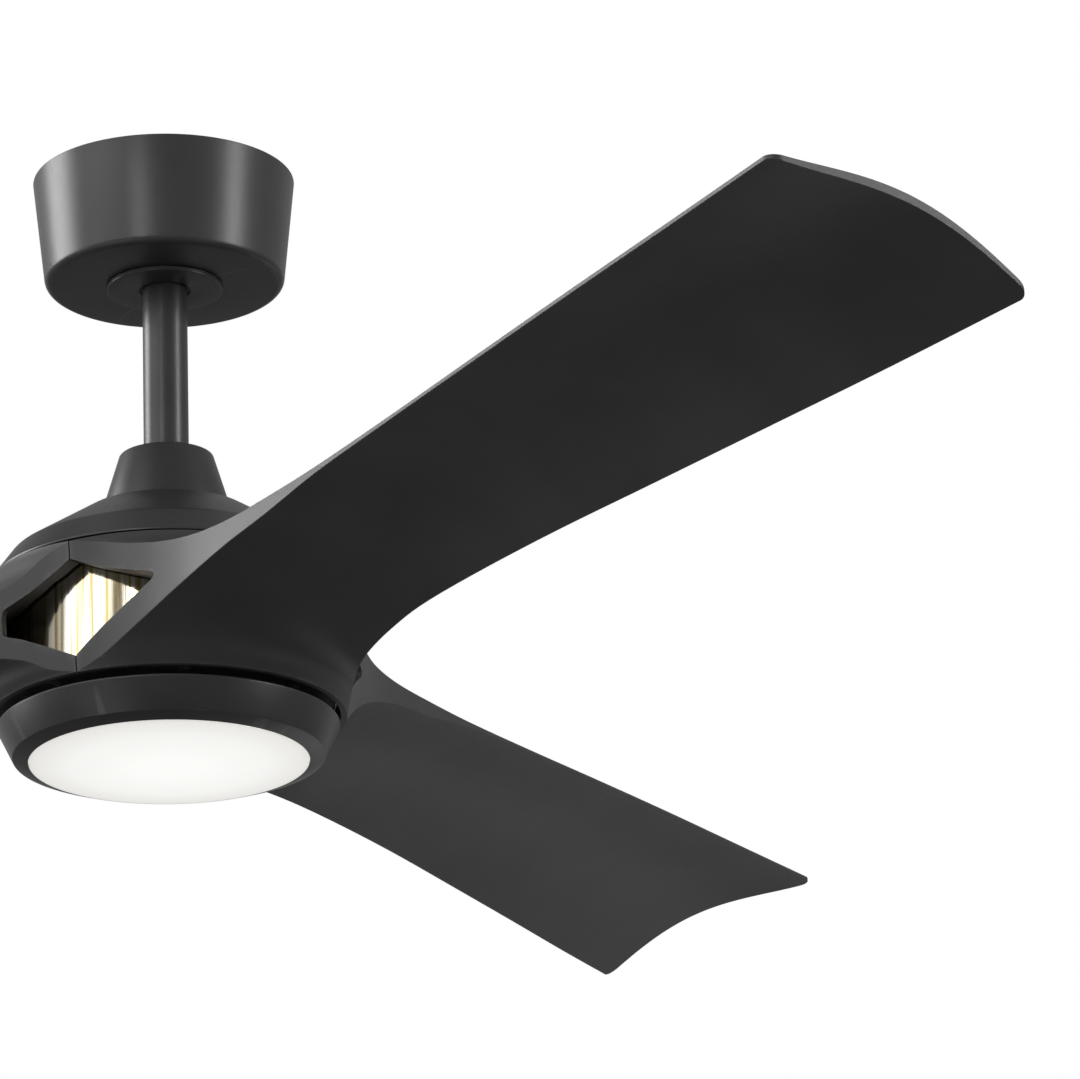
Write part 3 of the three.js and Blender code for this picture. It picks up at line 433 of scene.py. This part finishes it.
# ------------------------------------------------------------------ canopy and coupling cover
def canopy():
    low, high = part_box("canopy")
    rim, base = high.x, low.z
    wall, lean, hole = 1.8 * MM, 6.8 * MM, 19 * MM
    foot, foot_rise, foot_inset = rim - lean, 0.2 * MM, 0.4 * MM
    shoulder, hollow, edge, thin_edge = 4.6 * MM, 3 * MM, 0.5 * MM, 0.4 * MM
    corners = [
        (rim, 0, edge),
        (foot, base + foot_rise, shoulder),
        (hole, base, edge),
        (hole, base + wall, edge),
        (foot - wall - foot_inset, base + wall, hollow),
        (rim - wall, 0, thin_edge),
    ]
    turned("canopy", corners, "satin_black", "canopy")


def trim_disc():
    low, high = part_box("canopy_trim_disc")
    radius, bore, wall = high.x, 14.9 * MM, 0.9 * MM
    edge, bore_edge = 0.8 * MM, 0.3 * MM
    corners = [
        (radius, high.z),
        (radius, low.z, edge),
        (bore, low.z, bore_edge),
        (bore, low.z + wall, bore_edge),
        (radius - wall, low.z + wall),
        (radius - wall, high.z),
    ]
    turned("canopy_trim_disc", corners, "satin_black", "trim_disc")


def coupling_cover():
    low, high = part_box("coupling_cover")
    base, top, foot = low.z, high.z, high.x
    mouth, wall, taper = 13.6 * MM, 1.8 * MM, 11 * MM
    crown = foot - taper
    inner_crown = crown - 1.3 * MM
    shoulder, hollow, mouth_edge, edge = 1.9 * MM, 1 * MM, 0.4 * MM, 0.3 * MM
    corners = [
        (mouth, top, mouth_edge),
        (crown, top, shoulder),
        (foot, base, edge),
        (foot - wall, base, edge),
        (inner_crown, top - wall, hollow),
        (mouth, top - wall, edge),
    ]
    turned("coupling_cover", corners, "satin_black", "coupling_cover")


# ------------------------------------------------------------------ motor cover
def motor_cover():
    low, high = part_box("motor_cover")
    rim, top, wall = high.x, high.z, 1.8 * MM
    bore, crown, shoulder, skirt = 31 * MM, 48.5 * MM, 89.8 * MM, 94.2 * MM
    inner_crown, inner_shoulder, inner_rim = 47.9 * MM, 88.5 * MM, 98.2 * MM
    shoulder_drop, inner_drop, rim_drop, rim_height = 26.3 * MM, 27.7 * MM, 41.5 * MM, 1.1 * MM
    bead = top - rim_drop
    under = bead - rim_height
    edge, lip, bend = 0.3 * MM, 0.4 * MM, 0.5 * MM
    crown_bend, inner_crown_bend = 1.2 * MM, 1 * MM
    shoulder_bend, inner_shoulder_bend = 7 * MM, 6 * MM
    corners = [
        (bore, top, edge),
        (crown, top, crown_bend),
        (shoulder, top - shoulder_drop, shoulder_bend),
        (rim, bead, bend),
        (rim, under, lip),
        (skirt, under, bend),
        (skirt, low.z, edge),
        (skirt - wall, low.z, edge),
        (skirt - wall, under + wall, bend),
        (inner_rim, under + wall, bend),
        (inner_shoulder, top - inner_drop, inner_shoulder_bend),
        (inner_crown, top - wall, inner_crown_bend),
        (bore, top - wall, edge),
    ]
    turned("motor_cover", corners, "satin_black", "rotor")


# ------------------------------------------------------------------ blades
# Millimetres in the blade's own frame, with +X outward and the leading side towards -Y. Four
# rails run from the hub seam to the tip, and each has one point for each station.
BLADE_AZIMUTHS = (-60, 60, 180)
BAND_TOP, BAND_LOW, BAND_CORE, BAND_INNER = 109.5, 101.1, 101.6, 97.5
BAND_TOP_Z, BAND_LOW_Z = -253.8, -328.0
BAND_LIP = 1.2  # the band's core stops this far above its outer top edge
BAND_SWEEP, BAND_STEPS = 62, 96
FLANGE_INNER, FLANGE_OUTER, FLANGE_LOW_Z, FLANGE_TOP_Z = 79, 98.5, -324.8, -321
FLANGE_SWEEP, FLANGE_STEPS = 40, 64
BOLT = dict(reach=85.5, radius=2.3, low=-326, depth=6.5)
BOLT_AZIMUTH = 24
SEAM_AZIMUTH, SEAM_GAP = 60, 0.4
ROOT_TOP, ROOT_LOW, ROOT_TAPER = 100.5, 98.1, 0.6  # the wing's inner end, inside the band's ring
TIP_X, TIP_CORNER, TIP_CHORD = 710.5, 7.0, 152.0
EDGE = 2.4  # thickness of both edges beyond the root
CAMBER, CAMBER_LEAN, BELLY = 0.092, 1.25, 2.2
HUB_END, HUB_POWER, WING_START, WING_END = 6.5, 1.6, 3.0, 8.0  # station numbers, and a power
CROWN_INSET, CROWN_RISE = 6.5, 3.3
SKIN_STEPS, FACE_STEPS, NOSE_STEPS = 40, 14, 4
NOSE, NOSE_SHARE = 0.5, 0.46  # fillet along the four long edges, and the most it takes of a face
ROOT_ROWS, WING_ROWS, OUTER_ROWS, TIP_ROWS = 30, 50, 39, 12
OUTER_END = 11.9  # the station where the rounding of the tip takes over

LEAD_TOP = np.array([
    (54.75, -94.83, -253.8), (70.8, -83.9, -257.3), (89, -75.6, -262.2), (110, -68, -266.4),
    (135, -62.2, -269.2), (168, -59, -270.3), (210, -58.8, -270.3), (262, -58.8, -269.1),
    (340, -60.3, -266.1), (430, -63.2, -262.7), (520, -67.2, -260.4), (615, -72.5, -259.4),
    (TIP_X, -79.5, -259.4),
])
LEAD_LOW_ROOT = np.array([
    (50.55, -87.55, -328), (67, -80.4, -321.5), (85.8, -73.7, -311.8), (107, -67.5, -301.8),
    (133, -62, -291.8), (167, -59.2, -284), (210, -59.3, -279.6), (262, -59, -272.9),
])
TRAIL_TOP = np.array([
    (54.75, 94.83, -253.8), (67, 86, -258.5), (82, 77.3, -269), (100, 68.5, -277.5),
    (125, 58.5, -288), (160, 48.8, -300), (205, 40.6, -309.5), (262, 37.9, -312.9),
    (340, 38.2, -313.3), (430, 41, -314.1), (520, 47.2, -312.8), (615, 57.8, -308.9),
    (TIP_X, 72.6, -301.3),
])
TRAIL_LOW_ROOT = np.array([
    (50.55, 87.55, -328), (66, 80.2, -324), (80, 74.5, -317), (98, 67.5, -313.6),
    (124, 58.2, -314), (160, 48.6, -314.8), (205, 40.5, -315.4), (262, 37.9, -315.5),
])


def thinned(top, root):
    """The lower rail: its own root, then the upper rail dropped by the edge's thickness."""
    return np.vstack([root, top[len(root):] - (0, 0, EDGE)])


RAILS = {
    (True, 0): LEAD_TOP,
    (False, 0): thinned(LEAD_TOP, LEAD_LOW_ROOT),
    (True, 1): TRAIL_TOP,
    (False, 1): thinned(TRAIL_TOP, TRAIL_LOW_ROOT),
}
LAST_STATION = len(LEAD_TOP) - 1


def on_rail(rail, station):
    """A uniform Catmull-Rom curve through the rail's points, at a station number."""
    padded = np.vstack([2 * rail[0] - rail[1], rail, 2 * rail[-1] - rail[-2]])
    i = min(int(station), LAST_STATION - 1)
    t = station - i
    p0, p1, p2, p3 = padded[i:i + 4]
    start, end = (p2 - p0) / 2, (p3 - p1) / 2
    return (
        (2 * t**3 - 3 * t**2 + 1) * p1 + (t**3 - 2 * t**2 + t) * start
        + (3 * t**2 - 2 * t**3) * p2 + (t**3 - t**2) * end
    )


def hub_arc(across, top):
    """The blade's edge on the hub, a third of a turn long: across runs from 0 to 1."""
    side = 2 * across - 1
    angle = side * math.pi / 3
    middle = (1 - side**4) if top else 0.0
    radius = (BAND_TOP if top else BAND_LOW) - CROWN_INSET * middle
    z = (BAND_TOP_Z if top else BAND_LOW_Z) + CROWN_RISE * middle
    return np.array([radius * math.cos(angle), radius * math.sin(angle), z])


def skin_point(station, across, top):
    """A point of the upper or lower skin: on the hub's arc at the root, cambered further out."""
    lead, trail = on_rail(RAILS[top, 0], station), on_rail(RAILS[top, 1], station)
    point = lead + (trail - lead) * across
    chord_start = RAILS[top, 0][0] + (RAILS[top, 1][0] - RAILS[top, 0][0]) * across
    share = max(0.0, 1 - station / HUB_END) ** HUB_POWER
    point = point + (hub_arc(across, top) - chord_start) * share
    free = min(1.0, max(0.0, (station - WING_START) / (WING_END - WING_START)))
    free = free * free * (3 - 2 * free)
    chord = float(np.linalg.norm(trail - lead))
    point[2] += free * CAMBER * chord * math.sin(math.pi * across**CAMBER_LEAN)
    if top:
        point[2] += free * BELLY * math.sin(math.pi * across)
    return point


def bezier(start, control, end, t):
    return (1 - t) ** 2 * start + 2 * t * (1 - t) * control + t**2 * end


def section(station):
    """One closed loop round the blade: upper skin, trailing face, lower skin, leading face."""
    x = on_rail(RAILS[True, 0], station)[0]
    into = max(0.0, x - (TIP_X - TIP_CORNER))
    inset = (TIP_CORNER - math.sqrt(max(0.0, TIP_CORNER**2 - into**2))) / TIP_CHORD
    edges = {
        side: [skin_point(station, abs(side - inset), top) for top in (True, False)]
        for side in (0, 1)
    }
    heights = {side: float(np.linalg.norm(high - low)) for side, (high, low) in edges.items()}
    chord = float(np.linalg.norm(edges[0][0] - edges[1][0]))
    fillets = {side: min(NOSE, NOSE_SHARE * heights[side]) for side in (0, 1)}
    lead_end, trail_end = inset + fillets[0] / chord, 1 - inset - fillets[1] / chord
    loop = []

    def nose(start, corner, end):
        loop.extend(bezier(start, corner, end, i / NOSE_STEPS) for i in range(1, NOSE_STEPS))

    def skin(top, first, last):
        for step in range(SKIN_STEPS + 1):
            loop.append(skin_point(station, first + (last - first) * step / SKIN_STEPS, top))

    def face(side, start, end):
        trim = fillets[side] / heights[side]
        shares = [trim + (1 - 2 * trim) * step / FACE_STEPS for step in range(FACE_STEPS + 1)]
        points = [start + (end - start) * share for share in shares]
        nose(loop[-1], start, points[0])
        loop.extend(points)

    skin(True, lead_end, trail_end)
    face(1, edges[1][0], edges[1][1])
    nose(loop[-1], edges[1][1], skin_point(station, trail_end, False))
    skin(False, trail_end, lead_end)
    face(0, edges[0][1], edges[0][0])
    nose(loop[-1], edges[0][0], loop[0])
    return np.array(loop)


def wing_mesh():
    """The blade's skin from the seams at the hub to the tip."""
    stations = [
        *np.linspace(0, WING_START, ROOT_ROWS, endpoint=False),
        *np.linspace(WING_START, WING_END, WING_ROWS, endpoint=False),
        *np.linspace(WING_END, OUTER_END, OUTER_ROWS, endpoint=False),
    ]
    bay = TIP_CORNER / (TIP_X - LEAD_TOP[-2][0])  # the tip's rounding, in stations
    for i in range(TIP_ROWS + 1):
        stations.append(LAST_STATION - bay * (1 - math.sin(math.pi / 2 * i / TIP_ROWS)))
    loops = [section(s) for s in stations]
    root = loops[0].copy()
    reach = np.interp(root[:, 2], [BAND_LOW_Z, BAND_TOP_Z], [ROOT_LOW, ROOT_TOP])
    root[:, :2] *= (reach / np.linalg.norm(root[:, :2], axis=1))[:, None]
    root[:, 2] += np.sign(root[:, 2].mean() - root[:, 2]) * ROOT_TAPER
    loops.insert(0, root)
    points = np.vstack(loops)
    count, rows = len(root), len(loops)
    faces = []
    for i in range(rows - 1):
        for k in range(count):
            m = (k + 1) % count
            faces.append((i * count + k, (i + 1) * count + k, (i + 1) * count + m, i * count + m))
    faces += end_cap(0) + end_cap((rows - 1) * count)
    return closed_mesh("wing", points * MM, faces)


def end_cap(first):
    """Closes a section with strips between its two skins, so that the cap follows their curve."""
    turn = FACE_STEPS + 2 * NOSE_STEPS - 1
    low = SKIN_STEPS + 1 + turn
    end = low + SKIN_STEPS
    strips = [(k, k + 1, end - k - 1, end - k) for k in range(SKIN_STEPS)]
    trailing = tuple(range(SKIN_STEPS, low + 1))
    leading = (*range(end, end + 1 + turn), 0)
    return [tuple(first + k for k in face) for face in [*strips, trailing, leading]]


def wedge_mesh():
    """The sector between a blade's two seams, less half a seam gap at each side."""
    reach, low, high = 900.0, -400.0, -200.0
    half = math.radians(SEAM_AZIMUTH)
    apex = SEAM_GAP / math.sin(half)
    side, spread = apex + reach * math.cos(half), reach * math.sin(half)
    far = side + reach
    outline = [(apex, 0), (side, -spread), (far, -spread), (far, spread), (side, spread)]
    return prism_mesh("wedge", [(x, y, low) for x, y in outline], (0, 0, high - low))


def bent(start, control, end, steps=10):
    """Points of a quadratic curve, after its start."""
    start, control, end = map(np.array, (start, control, end))
    return [tuple(bezier(start, control, end, i / steps)) for i in range(1, steps + 1)]


def window_outline():
    """The diamond window, as (sideways, z) about its seam: the next blade's side is positive."""
    points = [(0, -263.8), (15, -269.9), (31, -275.2), (53, -281.5)]
    points += bent((53, -281.5), (58, -283.4), (53.2, -287))
    points += [(36.8, -295.2), (19.6, -304.9), (8.5, -312.4), (0, -318.8)]
    points += [(-19.1, -310.3), (-32.6, -304.7), (-41, -302.2)]
    points += bent((-41, -302.2), (-44.7, -301.4), (-44.7, -298.6), 5)
    points += [(-44.7, -290)]
    points += bent((-44.7, -290), (-44.6, -286.9), (-41.6, -285.3), 5)
    points += [(-26.6, -278.3), (-15, -271.9)]
    return points


def seam_axes(azimuth):
    """The directions outward and sideways at a seam."""
    a = math.radians(azimuth)
    return np.array([math.cos(a), math.sin(a), 0]), np.array([-math.sin(a), math.cos(a), 0])


def window_mesh(azimuth):
    """The window's outline carried straight out through the blades' wall."""
    inner, depth = 80.0, 60.0
    out, across = seam_axes(azimuth)
    ring = [tuple(out * inner + across * t + (0, 0, z)) for t, z in window_outline()]
    return prism_mesh("window", ring, tuple(out * depth))


def pocket_mesh(azimuth):
    """The hollow behind the window's wall: it widens inwards, mostly behind the trailing face."""
    front, lean, back, middle = 102.8, 0.1, 75.0, -291.0
    wider_left, wider_right, taller = 1.6, 1.05, 1.1
    out, across = seam_axes(azimuth)
    near, far = [], []
    for t, z in window_outline():
        wider = wider_left if t < 0 else wider_right
        near.append(out * (front + lean * (z - middle)) + across * t + (0, 0, z))
        far.append(out * back + across * t * wider + (0, 0, middle + taller * (z - middle)))
    n = len(near)
    centres = [out * front + (0, 0, middle), out * back + (0, 0, middle)]
    faces = [(i, (i + 1) % n, n + (i + 1) % n, n + i) for i in range(n)]
    faces += [(2 * n, (i + 1) % n, i) for i in range(n)]
    faces += [(2 * n + 1, n + i, n + (i + 1) % n) for i in range(n)]
    return closed_mesh("pocket", [tuple(p * MM) for p in near + far + centres], faces)


def blade_mesh():
    """One blade with its third of the band, its bolted flange and its halves of two windows."""
    lip = BAND_TOP_Z + BAND_LIP
    band = [(BAND_INNER, BAND_LOW_Z), (BAND_LOW, BAND_LOW_Z), (BAND_CORE, lip), (BAND_INNER, lip)]
    flange = [
        (FLANGE_INNER, FLANGE_LOW_Z),
        (FLANGE_OUTER, FLANGE_LOW_Z),
        (FLANGE_OUTER, FLANGE_TOP_Z),
        (FLANGE_INNER, FLANGE_TOP_Z),
    ]
    steps = [
        ("UNION", turned_mesh("band", np.array(band) * MM, -BAND_SWEEP, BAND_SWEEP, BAND_STEPS)),
        ("UNION", turned_mesh(
            "flange", np.array(flange) * MM, -FLANGE_SWEEP, FLANGE_SWEEP, FLANGE_STEPS)),
        ("INTERSECT", wedge_mesh()),
    ]
    for azimuth in (-SEAM_AZIMUTH, SEAM_AZIMUTH):
        steps += [("DIFFERENCE", window_mesh(azimuth)), ("DIFFERENCE", pocket_mesh(azimuth))]
    for azimuth in (BOLT_AZIMUTH, -BOLT_AZIMUTH):
        steps.append(drilled("bolt_hole", azimuth, **BOLT))
    return combined(wing_mesh(), steps)


def blades():
    shape = blade_mesh()
    for number, azimuth in enumerate(BLADE_AZIMUTHS, 1):
        mesh = shape.copy()
        mesh.transform(Matrix.Rotation(math.radians(azimuth), 4, "Z"))
        piece = finished(mesh, f"blade_{number}", "blade_black", "rotor", crease=BLADE_CREASE)
        # Cut faces shade like their neighbours when normals are weighted by area.
        piece.modifiers.new("even_normals", "WEIGHTED_NORMAL").keep_sharp = True


# ------------------------------------------------------------------ light kit
KIT_SCREW_AZIMUTHS = (30, 150, 270)


def kit_pan():
    """The pan's shell, and inside it the ring that the three screws hold."""
    low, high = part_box("kit_pan")
    top, base, rim = high.z, low.z, high.x
    lip, wall = base + 3.2 * MM, 2 * MM
    foot, mouth = 88.6 * MM, 79.6 * MM
    inner_foot, inner_lip, inner_rim = foot - 3 * MM, lip + 0.6 * MM, rim - 3.2 * MM
    flange_inner, flange_end = 82 * MM, 91.4 * MM
    overlap = flange_end - 0.1 * MM
    bend, mouth_edge, flange_edge = 1 * MM, 0.4 * MM, 0.3 * MM
    shell = [
        (overlap, top),
        (rim, top, bend),
        (foot, lip, bend),
        (mouth, base, mouth_edge),
        (mouth, base + wall, mouth_edge),
        (inner_foot, inner_lip, bend),
        (inner_rim, top - wall, bend),
        (overlap, top - wall),
    ]
    flange = [
        (flange_inner, top, flange_edge),
        (flange_end, top),
        (flange_end, top - wall),
        (flange_inner, top - wall, flange_edge),
    ]
    screw = dict(reach=87.5, radius=2, low=top / MM - 4, depth=6)
    holes = [drilled("screw_hole", azimuth, **screw) for azimuth in KIT_SCREW_AZIMUTHS]
    ring = combined(turned_mesh("kit_flange", filleted(flange)), holes)
    mesh = joined("kit_pan", turned_mesh("kit_shell", filleted(shell)), ring)
    finished(mesh, "kit_pan", "satin_black", "hanging")


def light_diffuser():
    """The bowed lens, with the flange that its bayonet holds."""
    radius, lip, wall = 79.2 * MM, -354 * MM, 1.8 * MM
    base, top, flange = lens_low.z, lens_high.z, lens_high.x
    seat = top - 1.3 * MM
    steps = 24

    def sag(r):
        return base + (lip - base) * (r / radius) ** 2

    inner = radius - wall
    outside = [(radius * i / steps, sag(radius * i / steps)) for i in range(steps + 1)]
    inside = [(inner * i / steps, sag(inner * i / steps) + wall) for i in range(steps, -1, -1)]
    rim = [(radius, seat), (flange, seat), (flange, top), (inner, top)]
    mesh = turned_mesh("light_diffuser", outside + rim + inside)
    finished(mesh, "light_diffuser", "frosted_lens", "diffuser")


canopy()
trim_disc()
tube("downrod", wall=2.2 * MM, edge=0.4 * MM, slot="satin_black", body="hanging")
coupling_cover()
motor_cover()
tube("accent_sleeve", wall=1.5 * MM, edge=0.3 * MM, slot="gold_sleeve", body="rotor")
blades()
kit_pan()
light_diffuser()

for entry in frame["record"]["subparts"]:
    node = frame["nodes"][entry["node"]]
    node.data.materials.clear()
    node.data.materials.append(FINISH[entry["material_slot"]])


# ------------------------------------------------------------------ camera, stage and light
CAMERA_PLACE = (0, -3.3228, -1.3938)
CAMERA_YAW, CAMERA_PITCH, CAMERA_ROLL = 3.682, 19.386, -1.777  # degrees, rightwards and upwards
SENSOR_WIDTH, FOCAL_LENGTH = 36.0, 204.77  # millimetres
FLOOR_Z, FLOOR_REACH = -4.3, 30.0
BACKDROP = 1.0  # brightness of the world as the camera sees it
# What lights the object: (share of the way from nadir to zenith, brightness).
STUDIO = [(0.42, 0.17), (0.56, 0.45), (1.0, 0.16)]
# Name, place, height of the point on the fan's axis that it faces, size, and watts.
SOFTBOXES = [
    ("left", (-3.0, 0.9, 0.6), -0.25, (1.6, 2.2), 90),
    ("front_left", (-2.9, -2.0, 1.2), -0.25, (2.3, 3.2), 34),
    ("front_strip", (-1.2, -3.0, 0.35), -0.25, (0.6, 1.3), 15),
    ("right_strip", (2.6, -1.2, 0.2), -0.2, (0.5, 2.2), 42),
    ("low_left", (-2.2, -2.0, -2.2), -0.3, (1.8, 1.4), 7),
    ("low_back", (1.8, 3.2, -2.4), -0.3, (2.4, 1.8), 8),
    ("top", (0.2, 0.4, 2.4), -0.2, (3, 3), 9),
]


def camera():
    data = bpy.data.cameras.new("camera")
    data.sensor_width = SENSOR_WIDTH
    data.lens = FOCAL_LENGTH
    yaw, pitch, roll = (math.radians(a) for a in (CAMERA_YAW, CAMERA_PITCH, CAMERA_ROLL))
    ahead = math.cos(pitch)
    forward = Vector((math.sin(yaw) * ahead, math.cos(yaw) * ahead, math.sin(pitch)))
    level = Vector((math.cos(yaw), -math.sin(yaw), 0))
    upright = level.cross(forward)
    right = math.cos(roll) * level + math.sin(roll) * upright
    up = math.cos(roll) * upright - math.sin(roll) * level
    thing = bpy.data.objects.new("camera", data)
    bpy.context.scene.collection.objects.link(thing)
    turn = Matrix((right, up, -forward)).transposed().to_4x4()
    thing.matrix_world = Matrix.Translation(CAMERA_PLACE) @ turn
    bpy.context.scene.camera = thing


def stage():
    """A plain pale floor, well below the fan."""
    turns = [(-1, -1), (1, -1), (1, 1), (-1, 1)]
    corners = [(x * FLOOR_REACH, y * FLOOR_REACH, FLOOR_Z) for x, y in turns]
    mesh = bpy.data.meshes.new("floor")
    mesh.from_pydata(corners, [], [(0, 1, 2, 3)])
    pale = Shader("pale_floor")
    clouds = pale.noise(pale.place, scale=0.6)
    tone = pale.ramp(clouds, [(0.3, (0.78, 0.78, 0.78)), (0.7, (0.82, 0.82, 0.82))])
    pale.feed(tone, "Base Color")
    pale.feed(tone, "Emission Color")
    pale.set(Roughness=0.9, Emission_Strength=0.55)
    mesh.materials.append(pale.material)
    floor = bpy.data.objects.new("floor", mesh)
    bpy.context.scene.collection.objects.link(floor)
    floor.visible_diffuse = floor.visible_glossy = False  # only the studio lights the underside


def surroundings():
    """A white backdrop for the camera, and a studio that is brightest just above the horizon."""
    world = bpy.data.worlds.new("studio")
    bpy.context.scene.world = world
    world.use_nodes = True
    nodes, links = world.node_tree.nodes, world.node_tree.links
    seen = nodes.new("ShaderNodeBackground")
    seen.inputs["Color"].default_value = (1, 1, 1, 1)
    seen.inputs["Strength"].default_value = BACKDROP
    split = nodes.new("ShaderNodeSeparateXYZ")
    links.new(nodes.new("ShaderNodeTexCoord").outputs["Generated"], split.inputs["Vector"])
    height = nodes.new("ShaderNodeMapRange")
    height.inputs["From Min"].default_value = -1.0
    links.new(split.outputs["Z"], height.inputs["Value"])
    tone = nodes.new("ShaderNodeValToRGB")
    stops = tone.color_ramp.elements
    stops.new(STUDIO[1][0])
    for stop, (position, value) in zip(stops, STUDIO):
        stop.position, stop.color = position, (value, value, value, 1)
    links.new(height.outputs["Result"], tone.inputs["Fac"])
    links.new(tone.outputs["Color"], nodes["Background"].inputs["Color"])
    mix = nodes.new("ShaderNodeMixShader")
    links.new(nodes.new("ShaderNodeLightPath").outputs["Is Camera Ray"], mix.inputs["Fac"])
    links.new(nodes["Background"].outputs["Background"], mix.inputs[1])
    links.new(seen.outputs["Background"], mix.inputs[2])
    links.new(mix.outputs["Shader"], nodes["World Output"].inputs["Surface"])


def softbox(name, place, aim_z, size, power):
    data = bpy.data.lights.new(name, "AREA")
    data.shape = "RECTANGLE"
    data.size, data.size_y = size
    data.energy = power
    thing = bpy.data.objects.new(name, data)
    thing.location = place
    thing.rotation_mode = "QUATERNION"
    thing.rotation_quaternion = (Vector((0, 0, aim_z)) - Vector(place)).to_track_quat("-Z", "Y")
    thing.visible_camera = False
    bpy.context.scene.collection.objects.link(thing)


camera()
stage()
surroundings()
for box in SOFTBOXES:
    softbox(*box)
bpy.context.scene.view_settings.view_transform = "Standard"
